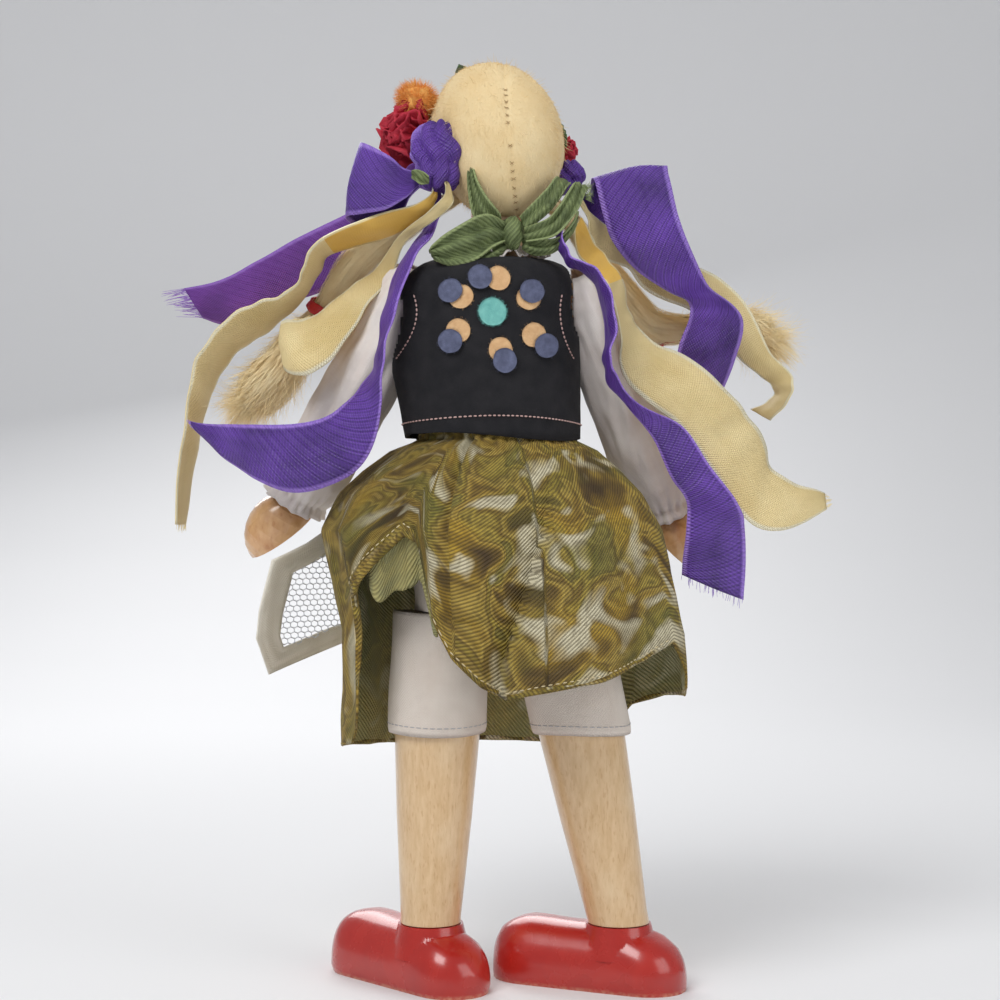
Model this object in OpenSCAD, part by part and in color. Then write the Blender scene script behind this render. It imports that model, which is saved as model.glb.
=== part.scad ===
// Folk-costume wooden peg doll, standing on the flat soles of its shoes.
// Up is +Z, the face looks along -Y and the doll's left side is +X.

/* [Head] */
// Sideways place of the body's middle
body_x = 0.5; // [-3:0.5:3]
// Half width of the egg-shaped wooden head
head_r = 13.125; // [12:0.125:14.5]
// Half height of the egg-shaped wooden head
head_h = 15.7; // [14.5:0.1:17]
// Height of the head's middle above the ground
head_z = 187.5; // [184:0.5:192]
// Radius of the neck
neck_r = 6; // [5.5:0.1:7]
// Height where the head's neck meets the body
neck_z = 165.6; // [163:0.1:168]
// Diameter of the neck dowel
neck_dowel_d = 8; // [5:0.5:9]
// Depth of the neck dowel in the body
neck_dowel_depth = 16; // [10:1:24]
// Depth of the neck dowel in the head above the neck joint
neck_dowel_rise = 18; // [10:1:24]
// Thickness of the plush hair cap
cap_wall = 1.5; // [0.8:0.1:2.4]
// Radius of the cap's opening for the face
face_r = 10.2; // [8:0.1:11]

/* [Body] */
// Height of the body's lower end
torso_bottom_z = 84.4; // [82:0.1:86]
// Height of the waist
waist_z = 123; // [118:1:128]
// Height of the shoulder pegs
shoulder_z = 151; // [148:1:152]
// Radius of the hips
hip_r = 17.5; // [16:0.5:19]
// Radius of the waist
waist_r = 14.3; // [12:0.1:15]
// Radius of the chest
chest_r = 15.8; // [14:0.1:17]

/* [Arms] */
// Length of an arm from the shoulder peg to the fingertip
arm_len = 70; // [60:1:76]
// Radius of the arm's dowel
arm_r = 4.4; // [3.5:0.1:5.5]
// Radius of the turned hand
hand_r = 7.7; // [6:0.1:8.5]
// Angle of the left arm from straight down
left_splay = 30; // [20:1:35]
// Angle of the right arm from straight down
right_splay = 21; // [18:1:30]
// Angle that the left arm stands forward
left_raise = 18; // [16:1:40]
// Angle that the right arm stands forward
right_raise = 22; // [20:1:40]
// Radius of the round shoulder end
shoulder_r = 5.4; // [5:0.1:6.5]
// Thickness of the round shoulder end
shoulder_t = 7.5; // [6:0.5:8]
// Diameter of a shoulder peg
shoulder_peg_d = 3; // [2:0.5:3.5]
// Length of a shoulder peg inside the body
shoulder_peg_in = 7; // [4:0.5:9]

/* [Legs] */
// Height of the hip pins
hip_z = 89; // [88:0.5:91]
// Distance of a hip slot from the body's middle
slot_x = 10.5; // [9.5:0.1:11.5]
// Width of a hip slot
slot_w = 5.4; // [4.5:0.1:6]
// Diameter of a hip pin
hip_pin_d = 2.6; // [2:0.1:3.2]
// Length of a hip pin
hip_pin_len = 12; // [10:0.5:12.5]
// Radius at the top of a leg
leg_top_r = 9.8; // [8:0.1:10.5]
// Radius at the ankle
ankle_r = 6.7; // [5.5:0.1:7.5]
// Height of the ankle joint
ankle_z = 14.2; // [12:0.1:16]
// Distance from the hip pin down to the middle of the leg's domed end
dome_drop = 17.6; // [17:0.1:19]
// Lean of the left leg
left_lean = 2; // [0:0.5:5]
// Lean of the right leg
right_lean = 11; // [8:0.5:12]
// Diameter of an ankle peg
ankle_peg_d = 4; // [3:0.5:5]
// Length of an ankle peg above the joint
ankle_peg_up = 10; // [6:0.5:12]
// Length of an ankle peg below the joint
ankle_peg_down = 8; // [5:0.5:10]

/* [Shoes] */
// Length of a shoe in front of the ankle peg
toe_len = 30; // [26:0.5:32]
// Length of a shoe behind the ankle peg
heel_len = 15.5; // [14:0.5:17]
// Radius of the toe seen from above
toe_r = 9.8; // [9:0.1:10]
// Radius of the heel seen from above
heel_r = 9; // [8:0.1:9.5]
// Height of the toe
toe_h = 14; // [12:0.1:14]
// Turn of the left toe from straight ahead
left_turn = 42; // [30:1:44]
// Turn of the right toe from straight ahead
right_turn = 64; // [50:1:68]

/* [Clothes] */
// Thickness of the blouse cotton
blouse_t = 0.8; // [0.5:0.1:1]
// Thickness of the bodice felt
felt_t = 1.2; // [0.8:0.1:1.6]
// Height of the bodice's lower edge
bodice_bottom_z = 121.5; // [120:0.5:124]
// Radius of the armholes
armhole_r = 8.6; // [8:0.1:9.5]
// Diameter of the small dots
dot_d = 5.2; // [4:0.1:6]
// Diameter of the middle dot
big_dot_d = 6; // [5:0.1:7]
// Outer radius of a sleeve
sleeve_r = 8.2; // [7.5:0.1:9]
// Distance from a sleeve's cuff to the fingertip
cuff_to_tip = 17; // [14:1:24]
// Outer radius of the collar
collar_r = 11.6; // [9:0.1:12]
// Height of the collar above the neck end of the blouse
collar_h = 4.4; // [3:0.1:4.6]
// Thickness of the skirt cloth
skirt_t = 1.1; // [0.8:0.1:1.4]
// Half width of the skirt at the hem
skirt_w = 38.5; // [34:0.5:42]
// Depth of the skirt in front of the body's middle, at the hem
skirt_d = 29; // [28:0.5:33]
// Depth of the skirt behind the body's middle, at the hem
skirt_back_d = 32; // [28:0.5:34]
// Lowest height of the skirt's hem
skirt_hem_z = 51; // [46:1:56]
// Depth of the skirt's folds
fold_depth = 1.5; // [0.6:0.1:1.6]
// Number of the skirt's folds
fold_count = 9; // [7:1:11]
// Height of the drawers' leg ends
drawers_hem_z = 56.5; // [54:0.5:60]
// Thickness of the drawers' linen
linen_t = 0.9; // [0.6:0.1:1.2]

/* [Apron] */
// Reach of the apron's outer corner to the doll's left of the body's middle
apron_reach = 53.5; // [48:0.5:56]
// Height of the apron's lowest corner
apron_hem_z = 68.5; // [66:0.5:76]
// Height of the apron's upper edge
apron_top_z = 120.6; // [116:0.1:121]
// Radius that the apron's upper edge bends to
apron_bend_r = 46; // [40:1:60]
// Width of the apron's ribbon border
border_w = 5.6; // [4:0.1:7]
// Thickness of the apron net and border
net_t = 0.8; // [0.6:0.1:1]
// Width of a gap in the net
net_gap = 3; // [2.6:0.1:4]
// Width of the net's threads
net_thread = 1; // [0.7:0.1:1.4]

/* [Ribbons and hair] */
// Reach of the ribbons to each side
ribbon_reach = 73.5; // [66:0.5:80]
// Thickness of a ribbon
ribbon_t = 0.7; // [0.5:0.1:1]
// Height of the middle of the ribbon knots' line
tie_z = 184; // [180:1:188]
// Radius of a hair tail
tail_r = 4.4; // [3:0.1:5]
// Width of the wreath's band
wreath_w = 3.2; // [2:0.1:4]
// Radius of the large red flower
flower_r = 7.4; // [5:0.1:8]

/* [Hidden] */
$fn = 48;
// One overrun serves all cuts
over = 1;
// Radial clearance of the turning fits
run_fit = 0.05;
// Clearance of flat faces that slide past each other
face_fit = 0.2;
// Clearance between layers of cloth, and between cloth and wood
cloth_gap = 0.3;
// Clearance of the soft pieces that sit on the cap
seat_gap = 0.15;

wood = "#d9b27c";
skin_tone = "#dba877";
plush = "#dcc185";
purple = "#5a2ba8";
gold = "#d9bd62";
// The cap's inner face lies on the head, and these are the distances out from the wood
cap_out = run_fit + cap_wall;
seat_out = cap_out + seat_gap;
// The head's turned egg, grown by a distance
module egg(out, sides = 96) {
    translate([body_x, 0, head_z])
    rotate_extrude($fn = sides)
    polygon([for (a = [-90:7.5:90]) [(head_r + out) * cos(a), (head_h + out) * sin(a)]]);
}

// A smooth curve through rows of numbers, with a number of steps from row to row
function row_at(rows, i) = rows[max(0, min(len(rows) - 1, i))];
function between(a, b, c, d, t) =
    0.5 * (2 * b + (c - a) * t + (2 * a - 5 * b + 4 * c - d) * t * t
    + (3 * b - 3 * c + d - a) * t * t * t);
function smooth(rows, steps) = [
    for (i = [0:len(rows) - 2])
        for (k = [0:steps - 1])
            between(row_at(rows, i - 1), rows[i], rows[i + 1], row_at(rows, i + 2), k / steps),
    rows[len(rows) - 1]];
function unit(v) = v / norm(v);

// A closed solid through rings of points; a loop joins its last ring to its first
module skin_over(rings, loop = false) {
    sides = len(rings[0]);
    count = len(rings);
    bands = loop ? count : count - 1;
    points = [for (ring = rings) for (p = ring) p];
    walls = [
        for (i = [0:bands - 1])
            for (j = [0:sides - 1])
                let (a = i * sides + j, b = i * sides + (j + 1) % sides)
                let (c = ((i + 1) % count) * sides + (j + 1) % sides)
                let (d = ((i + 1) % count) * sides + j)
                for (face = [[a, d, c], [a, c, b]]) face];
    last = (count - 1) * sides;
    caps = loop ? [] : [
        for (j = [1:sides - 2])
            for (face = [[0, j, j + 1], [last, last + j + 1, last + j]]) face];
    polyhedron(points = points, faces = concat(walls, caps), convexity = 6);
}

// A point given in shares of the reach: what lies near the head keeps to the head's size, and
// only what hangs free follows the ribbons' reach
tie_reach = 5.6 * head_r;
near_share = 0.3;
function reach_point(s) =
    let (far = norm(s))
    [0, 0, tie_z] + s * (far < near_share ? tie_reach
        : (tie_reach * near_share + ribbon_reach * (far - near_share)) / far);

// A ribbon between two edges; a row holds one point of each edge, in shares of the reach
module ribbon(edge_shares, steps = 3) {
    rows = smooth(edge_shares, steps);
    count = len(rows);
    one = [for (r = rows) reach_point([r[0], r[1], r[2]])];
    two = [for (r = rows) reach_point([r[3], r[4], r[5]])];
    middle = [for (i = [0:count - 1]) (one[i] + two[i]) / 2];
    rings = [
        for (i = [0:count - 1])
            let (along = middle[min(i + 1, count - 1)] - middle[max(i - 1, 0)])
            let (side = unit(cross(along, two[i] - one[i])) * ribbon_t / 2)
            [one[i] - side, two[i] - side, two[i] + side, one[i] + side]];
    skin_over(rings);
}

// A tube along a route, with a radius at each point
module tube(route, radii, sides = 8) {
    count = len(route);
    rings = [
        for (i = [0:count - 1])
            let (along = unit(route[min(i + 1, count - 1)] - route[max(i - 1, 0)]))
            let (right = unit(cross([0, 1, 0], along)))
            let (up = cross(along, right))
            [for (j = [0:sides - 1])
                route[i] + radii[i] * (cos(360 * j / sides) * right
                + sin(360 * j / sides) * up)]];
    skin_over(rings);
}

// A crumpled ball: lobes round its middle swell and sink in steps from pole to pole
module crumpled(r, depth, tall, lobes, swell_share = 0.16, turns = 20, levels = 9) {
    pole = 14;
    rings = [
        for (i = [0:levels])
            let (tilt = pole + (180 - 2 * pole) * i / levels)
            [for (j = [0:turns - 1])
                let (a = 360 * j / turns)
                let (lump = 1 + swell_share * cos(lobes * a + 67 * i) * sin(tilt))
                [r * lump * sin(tilt) * cos(a), depth * lump * sin(tilt) * sin(a),
                    -tall * cos(tilt)]]];
    skin_over(rings);
}

// Body: a turned block with a slot for each leg, a neck bore and two shoulder bores
shoulder_flat = chest_r * 0.943;
arm_in = shoulder_flat + face_fit;
torso_taper_z = waist_z - waist_r * 0.63;
waist_top_z = waist_z + waist_r * 0.245;
shoulder_round = chest_r * 0.3;
neck_stub_h = 7.8;
shoulder_top_z = neck_z - neck_stub_h + face_fit;
module torso() {
    color(wood)
    translate([body_x, 0, 0])
    difference() {
        rotate_extrude()
        polygon([[0, torso_bottom_z], [hip_r - over, torso_bottom_z],
            [hip_r, torso_bottom_z + over], [hip_r, hip_z + hip_r / 2],
            [waist_r, torso_taper_z], [waist_r, waist_top_z],
            [chest_r, waist_top_z + chest_r - waist_r],
            [chest_r, shoulder_top_z - shoulder_round],
            for (a = [15:15:75]) [chest_r - shoulder_round * (1 - cos(a)),
                shoulder_top_z - shoulder_round * (1 - sin(a))],
            [chest_r - shoulder_round, shoulder_top_z], [neck_r, shoulder_top_z],
            [neck_r, neck_z - face_fit], [0, neck_z - face_fit]]);
        translate([0, 0, neck_z - neck_dowel_depth])
        cylinder(d = neck_dowel_d + 2 * run_fit, h = neck_dowel_depth + over);
        for (side = [-1, 1]) {
            translate([side * slot_x - slot_w / 2, -hip_r - over, torso_bottom_z - over])
            cube([slot_w, 2 * (hip_r + over), hip_z + tongue_r + cloth_gap - torso_bottom_z + over]);
            translate([side * slot_x, 0, hip_z])
            rotate([0, 90, 0])
            cylinder(d = hip_pin_d, h = hip_pin_len, center = true);
            translate([side * (shoulder_flat - shoulder_peg_in), 0, shoulder_z])
            rotate([0, side * 90, 0])
            cylinder(d = shoulder_peg_d, h = shoulder_peg_in + over);
            translate([side * (shoulder_flat + chest_r / 2), 0, shoulder_z])
            cube([chest_r, 2 * armhole_r, 2 * armhole_r], center = true);
        }
    }
}

// Neck dowel: glued into the head, it turns in the body's bore
module neck_dowel() {
    color(wood)
    translate([body_x, 0, neck_z - neck_dowel_depth + face_fit])
    cylinder(d = neck_dowel_d, h = neck_dowel_depth - face_fit + neck_dowel_rise);
}

// Head: a turned egg on a short neck
module head() {
    color(skin_tone)
    difference() {
        union() {
            egg(0);
            translate([body_x, 0, neck_z])
            cylinder(r = neck_r, h = head_z - neck_z);
        }
        translate([body_x, 0, neck_z - over])
        cylinder(d = neck_dowel_d, h = neck_dowel_rise + over);
    }
}

// Hair cap: a plush hood over the head, open at the face and round the neck
module hair_cap() {
    color(plush)
    difference() {
        egg(cap_out);
        egg(run_fit);
        translate([body_x, 0, head_z - head_r * 0.2])
        rotate([90, 0, 0])
        cylinder(r = face_r, h = 2 * head_r);
        translate([body_x, 0, head_z - 2 * head_h])
        cylinder(r = neck_r + 2 * cloth_gap, h = 2 * head_h);
    }
}

// Hair tails: from under the cap over the shoulder and out to the side, in shares of the reach
tail_left_shares = [[0.115, -0.015, -0.11], [0.215, -0.03, -0.16], [0.29, -0.04, -0.205],
    [0.37, -0.05, -0.25], [0.46, -0.1, -0.33], [0.55, -0.15, -0.45], [0.62, -0.17, -0.54],
    [0.69, -0.18, -0.64],
    [0.755, -0.18, -0.71], [0.80, -0.18, -0.75]];
tail_right_shares = [[-0.11, -0.015, -0.11], [-0.2, -0.03, -0.175], [-0.28, -0.09, -0.27],
    [-0.37, -0.18, -0.38], [-0.46, -0.22, -0.48], [-0.55, -0.24, -0.5], [-0.64, -0.25, -0.49], [-0.73, -0.25, -0.50],
    [-0.8, -0.24, -0.52], [-0.86, -0.23, -0.55]];
tail_left_swell_shares = [0.42, 0.55, 0.75, 0.95, 0.9, 0.62, 1.15, 1.45, 1.35, 0.5];
tail_right_swell_shares = [0.42, 0.55, 0.7, 0.95, 1, 0.9, 0.62, 1.25, 1.4, 0.55];
tie_left_row = 5;
tie_right_row = 6;
tie_wall = 0.9;
module hair_tail(route_shares, swell_shares) {
    rows = smooth([for (i = [0:len(route_shares) - 1])
        concat(route_shares[i], [swell_shares[i]])], 2);
    color(plush)
    difference() {
        tube([for (r = rows) reach_point([r[0], r[1], r[2]])],
            [for (r = rows) tail_r * r[3]], 10);
        egg(seat_out);
    }
}
module left_hair_tail() hair_tail(tail_left_shares, tail_left_swell_shares);
module right_hair_tail() hair_tail(tail_right_shares, tail_right_swell_shares);

// Hair ties: a red band round each tail, with two cut ends that lie along the tail
module hair_tie(route_shares, swell_shares, tie_row, side) {
    at = reach_point(route_shares[tie_row]);
    along = reach_point(route_shares[tie_row + 1]) - reach_point(route_shares[tie_row - 1]);
    lean = atan2(norm([along[0], along[1]]), along[2]);
    turn = atan2(along[1], along[0]);
    inner = tail_r * swell_shares[tie_row] + 2 * cloth_gap;
    width = tail_r * 0.5;
    end_len = tail_r * 2.8;
    color("#c3202b")
    translate(at)
    rotate([0, lean, turn])
    union() {
        difference() {
            cylinder(r = inner + tie_wall, h = width, center = true);
            cylinder(r = inner, h = width + over, center = true);
        }
        for (flip = [0, 180])
            rotate([0, 0, side])
            rotate([0, flip, 0])
            translate([(flip == 0 ? 1 : -1) * (inner + tie_wall / 2), 0, 0])
            rotate([0, (flip == 0 ? 1 : -1) * 14, 0])
            rotate([0, -90, 0])
            linear_extrude(tie_wall, center = true)
            polygon([[0, -width / 2], [end_len, -width * 0.9], [end_len * 0.8, 0],
                [end_len, width * 0.9], [0, width / 2]]);
    }
}
module left_hair_tie() {
    hair_tie(tail_left_shares, tail_left_swell_shares, tie_left_row, 0);
}
module right_hair_tie() {
    hair_tie(tail_right_shares, tail_right_swell_shares, tie_right_row, 180);
}

// Wreath: a band over the front of the cap, tilted up at the front
wreath_tilt = -35;
band_t = 0.45;
band_out = seat_out + band_t;
flower_seat_out = band_out + seat_gap;
module wreath_slab(width, front_only) {
    translate([body_x, 0, head_z])
    rotate([wreath_tilt, 0, 0])
    translate([-2 * head_h, -2 * head_h, -width / 2])
    cube([4 * head_h, (front_only ? 2 : 4) * head_h, width]);
}
module wreath_band() {
    color("#3f6b35")
    difference() {
        intersection() {
            egg(band_out);
            wreath_slab(wreath_w, true);
        }
        egg(seat_out);
    }
}

// A piece set on the head, cut to the cap and band beneath it; its place is an angle
// round the wreath from the doll's left and a rise out of the wreath's plane
module on_wreath(angle, rise = 0, out = 0) {
    way = [cos(rise) * cos(angle),
        -cos(rise) * sin(angle) * cos(wreath_tilt) - sin(rise) * sin(wreath_tilt),
        -cos(rise) * sin(angle) * sin(wreath_tilt) + sin(rise) * cos(wreath_tilt)];
    seat = 1 / norm([norm([way[0], way[1]]) / (head_r + flower_seat_out),
        way[2] / (head_h + flower_seat_out)]);
    difference() {
        translate([body_x, 0, head_z])
        rotate([wreath_tilt, 0, 0])
        rotate([0, 0, -angle])
        rotate([0, -rise, 0])
        translate([seat + out, 0, 0])
        children();
        egg(flower_seat_out, 160);
    }
}

module wreath_leaves() {
    leaf_t = flower_r * 0.3;
    leaf_shares = [[-0.6, 0], [-0.38, 0.2], [-0.1, 0.28], [0.2, 0.22], [0.42, 0.14], [0.62, 0],
        [0.42, -0.14], [0.2, -0.22], [-0.1, -0.28], [-0.38, -0.2]];
    color("#2f4a2c")
    for (place = [[60, 22], [52, -14], [117, 24], [114, -15]])
        on_wreath(place[0], place[1])
        rotate([0, 90, 0])
        linear_extrude(leaf_t, center = true)
        polygon(flower_r * leaf_shares);
}
module red_flower_left(out = 0) {
    color("#c0203a")
    on_wreath(14, -8, flower_r * 0.65)
    crumpled(flower_r * 0.84 + out, flower_r * 0.9 + out, flower_r * 1.14 + out, 5);
}
module orange_flower() {
    color("#e39a35")
    difference() {
        on_wreath(20, 22, flower_r * 0.66)
        crumpled(flower_r * 0.5, flower_r * 0.6, flower_r * 0.44, 5);
        red_flower_left(seat_gap);
    }
}
module front_flower() {
    color("#e3b53c")
    on_wreath(90, 0, flower_r * 0.1)
    crumpled(flower_r * 0.5, flower_r * 0.7, flower_r * 0.7, 5);
}
module red_flower_right() {
    color("#c0203a")
    on_wreath(154, -22, flower_r * 0.12)
    crumpled(flower_r * 0.5, flower_r * 0.6, flower_r * 0.6, 5);
}

// Knots: bunched purple ribbon at each end of the wreath
left_knot_shares = [0.182, 0.118, -0.02];
left_knot_size_shares = [0.07, 0.055, 0.11];
right_knot_shares = [-0.205, -0.02, -0.06];
right_knot_size_shares = [0.05, 0.05, 0.055];
module knot_form(place_shares, size_shares, out) {
    size = tie_reach * size_shares;
    translate(reach_point(place_shares))
    crumpled(size[0] + out, size[1] + out, size[2] + out, 3, 0.12);
}
module knot(place_shares, size_shares) {
    color(purple)
    difference() {
        knot_form(place_shares, size_shares, 0);
        egg(seat_out);
        intersection() {
            egg(flower_seat_out);
            wreath_slab(wreath_w + 2 * seat_gap, false);
        }
    }
}
module left_ribbon_knot() knot(left_knot_shares, left_knot_size_shares);
module right_ribbon_knot() knot(right_knot_shares, right_knot_size_shares);
// Ribbons: each row is a point of one edge and the point of the other edge across from it
left_purple_loop_shares = [
    [0.195, 0.115, -0.03, 0.195, 0.115, -0.07], [0.24, 0.15, -0.065, 0.24, 0.15, -0.11],
    [0.28, 0.15, -0.06, 0.275, 0.16, -0.145], [0.33, 0.15, -0.02, 0.34, 0.15, -0.18],
    [0.40, 0.13, 0.018, 0.43, 0.12, -0.19],
    [0.42, 0.08, 0.025, 0.465, 0.08, -0.19], [0.39, 0.05, -0.01, 0.445, 0.05, -0.21],
    [0.335, 0.05, -0.07, 0.385, 0.045, -0.23], [0.29, 0.06, -0.08, 0.31, 0.055, -0.2],
    [0.262, 0.09, -0.085, 0.262, 0.09, -0.13], [0.205, 0.1, -0.05, 0.205, 0.1, -0.08]];
left_purple_tail_shares = [
    [0.2, 0.09, -0.01, 0.2, 0.09, -0.03], [0.262, 0.05, -0.03, 0.262, 0.05, -0.065],
    [0.31, -0.03, -0.05, 0.30, -0.03, -0.12],
    [0.385, -0.14, -0.10, 0.345, -0.14, -0.21], [0.495, -0.2, -0.15, 0.441, -0.2, -0.335],
    [0.63, -0.23, -0.21, 0.58, -0.23, -0.39], [0.765, -0.24, -0.285, 0.715, -0.24, -0.43],
    [0.885, -0.25, -0.345, 0.843, -0.25, -0.485], [0.996, -0.25, -0.37, 0.935, -0.25, -0.465]];
left_purple_long_shares = [
    [0.2, 0.09, -0.075, 0.18, 0.09, -0.085], [0.205, 0.07, -0.135, 0.175, 0.07, -0.15],
    [0.235, 0.08, -0.235, 0.19, 0.11, -0.225],
    [0.30, 0.12, -0.335, 0.249, 0.18, -0.315], [0.345, 0.135, -0.46, 0.297, 0.22, -0.445],
    [0.363, 0.135, -0.58, 0.335, 0.22, -0.575], [0.39, 0.14, -0.665, 0.348, 0.22, -0.70],
    [0.444, 0.14, -0.735, 0.357, 0.2, -0.813], [0.516, 0.14, -0.79, 0.402, 0.18, -0.927],
    [0.60, 0.13, -0.81, 0.495, 0.15, -0.99], [0.696, 0.1, -0.812, 0.615, 0.14, -1.014],
    [0.795, 0.06, -0.81, 0.735, 0.1, -0.972], [0.885, 0, -0.807, 0.84, 0.03, -0.903],
    [0.942, -0.03, -0.798, 0.93, -0.03, -0.82]];
left_yellow_long_shares = [
    [0.195, 0.115, -0.085, 0.185, 0.105, -0.1], [0.2, 0.14, -0.125, 0.19, 0.125, -0.15],
    [0.245, 0.13, -0.16, 0.22, 0.1, -0.19],
    [0.384, 0.12, -0.2, 0.324, 0.05, -0.249], [0.525, 0.1, -0.26, 0.5, -0.06, -0.285],
    [0.573, 0.08, -0.315, 0.549, -0.1, -0.34], [0.60, 0.03, -0.378, 0.59, -0.13, -0.405],
    [0.66, 0, -0.42, 0.66, -0.15, -0.475], [0.738, -0.02, -0.444, 0.738, -0.18, -0.528],
    [0.822, -0.04, -0.483, 0.807, -0.2, -0.57], [0.894, -0.06, -0.561, 0.864, -0.22, -0.633],
    [0.94, -0.08, -0.65, 0.9, -0.24, -0.702], [0.96, -0.09, -0.789, 0.927, -0.25, -0.786],
    [0.981, -0.1, -0.915, 0.955, -0.25, -0.92], [0.996, -0.12, -1.113, 0.985, -0.26, -1.113]];
left_yellow_loop_shares = [
    [0.18, 0.13, -0.07, 0.165, 0.13, -0.085], [0.16, 0.17, -0.13, 0.135, 0.17, -0.155],
    [0.21, 0.155, -0.185, 0.18, 0.16, -0.205],
    [0.3, 0.095, -0.25, 0.28, 0.095, -0.27], [0.372, 0.02, -0.335, 0.325, 0.05, -0.365],
    [0.456, 0, -0.39, 0.385, 0.06, -0.435], [0.534, 0, -0.455, 0.44, 0.08, -0.525],
    [0.60, 0.02, -0.49, 0.505, 0.1, -0.615], [0.648, 0.02, -0.49, 0.585, 0.09, -0.663],
    [0.668, -0.02, -0.50, 0.657, 0.03, -0.64], [0.635, -0.05, -0.49, 0.62, -0.01, -0.56],
    [0.58, -0.06, -0.475, 0.565, -0.03, -0.53]];
right_purple_loop_shares = [[-0.215, -0.03, -0.055, -0.215, -0.03, -0.08],
    [-0.262, -0.07, -0.1, -0.262, -0.07, -0.16], [-0.275, -0.1, -0.1, -0.31, -0.1, -0.2],
    [-0.278, -0.1, -0.07, -0.435, -0.1, -0.13], [-0.28, -0.05, -0.05, -0.5, -0.05, -0.02],
    [-0.288, 0, -0.075, -0.51, 0, -0.05], [-0.318, 0.03, -0.204, -0.531, 0.03, -0.159],
    [-0.348, 0.03, -0.273, -0.555, 0.03, -0.234], [-0.414, 0.01, -0.345, -0.594, 0, -0.315],
    [-0.504, -0.01, -0.402, -0.636, -0.02, -0.39], [-0.57, -0.02, -0.435, -0.714, -0.03, -0.45],
    [-0.575, -0.04, -0.49, -0.741, -0.04, -0.505], [-0.545, -0.08, -0.579, -0.723, -0.08, -0.603],
    [-0.555, -0.11, -0.669, -0.684, -0.11, -0.705]];
right_purple_long_shares = [
    [-0.16, 0.16, -0.25, -0.18, 0.19, -0.245], [-0.175, 0.15, -0.305, -0.19, 0.22, -0.3],
    [-0.204, 0.15, -0.351, -0.225, 0.23, -0.34], [-0.264, 0.16, -0.385, -0.282, 0.24, -0.368],
    [-0.294, 0.16, -0.459, -0.322, 0.25, -0.45], [-0.309, 0.16, -0.549, -0.335, 0.25, -0.543],
    [-0.3, 0.16, -0.624, -0.318, 0.25, -0.615], [-0.318, 0.16, -0.693, -0.338, 0.22, -0.675],
    [-0.384, 0.16, -0.774, -0.405, 0.18, -0.755], [-0.45, 0.16, -0.855, -0.534, 0.17, -0.819],
    [-0.504, 0.14, -0.969, -0.618, 0.14, -0.933], [-0.555, 0.11, -1.047, -0.705, 0.1, -1.044],
    [-0.555, 0.06, -1.164, -0.741, 0.02, -1.134], [-0.549, 0.02, -1.263, -0.744, -0.05, -1.344]];
right_yellow_loop_shares = [
    [-0.215, -0.01, -0.085, -0.22, -0.015, -0.07], [-0.262, 0.02, -0.19, -0.265, 0.0, -0.155],
    [-0.28, 0, -0.249, -0.32, -0.05, -0.195],
    [-0.31, -0.02, -0.303, -0.384, -0.07, -0.213], [-0.39, -0.06, -0.327, -0.48, -0.12, -0.249],
    [-0.456, -0.09, -0.399, -0.57, -0.14, -0.297], [-0.57, -0.11, -0.444, -0.684, -0.14, -0.351],
    [-0.666, -0.13, -0.504, -0.771, -0.14, -0.444], [-0.735, -0.14, -0.594, -0.837, -0.14, -0.579],
    [-0.804, -0.15, -0.651, -0.894, -0.12, -0.645], [-0.849, -0.18, -0.687, -0.897, -0.08, -0.693],
    [-0.84, -0.21, -0.723, -0.876, -0.11, -0.744], [-0.786, -0.22, -0.753, -0.84, -0.17, -0.789]];
right_yellow_long_shares = [
    [-0.225, 0.1, -0.22, -0.245, 0.07, -0.19], [-0.225, 0.12, -0.294, -0.28, 0.08, -0.265],
    [-0.262, 0.125, -0.345, -0.324, 0.08, -0.321], [-0.318, 0.13, -0.399, -0.366, 0.07, -0.375],
    [-0.345, 0.13, -0.483, -0.385, 0.07, -0.465], [-0.358, 0.13, -0.564, -0.41, 0.07, -0.513],
    [-0.36, 0.13, -0.655, -0.465, 0.07, -0.567], [-0.435, 0.13, -0.745, -0.57, 0.05, -0.609],
    [-0.51, 0.13, -0.795, -0.684, 0.02, -0.702], [-0.579, 0.1, -0.875, -0.75, 0, -0.777],
    [-0.66, 0.07, -0.99, -0.804, -0.03, -0.849], [-0.75, 0.04, -1.1, -0.831, -0.05, -0.939],
    [-0.855, 0.01, -1.128, -0.915, -0.07, -0.987], [-0.993, -0.03, -1.065, -0.993, -0.07, -1.014]];
// A ribbon that comes out of a knot, clear of it by the cloth's gap
module tied_left(edge_shares) {
    difference() {
        ribbon(edge_shares);
        knot_form(left_knot_shares, left_knot_size_shares, cloth_gap);
    }
}
module tied_right(edge_shares) {
    difference() {
        ribbon(edge_shares);
        knot_form(right_knot_shares, right_knot_size_shares, cloth_gap);
    }
}
module left_purple_loop() color(purple) tied_left(left_purple_loop_shares);
module left_purple_tail() color(purple) tied_left(left_purple_tail_shares);
module left_purple_long() color(purple) tied_left(left_purple_long_shares);
module left_yellow_long() color(gold) tied_left(left_yellow_long_shares);
module left_yellow_loop() color(gold) tied_left(left_yellow_loop_shares);
module right_purple_loop() color(purple) tied_right(right_purple_loop_shares);
module right_purple_long() color(purple) ribbon(right_purple_long_shares);
module right_yellow_long() color(gold) ribbon(right_yellow_long_shares);
module right_yellow_loop() color(gold) tied_right(right_yellow_loop_shares);

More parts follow.
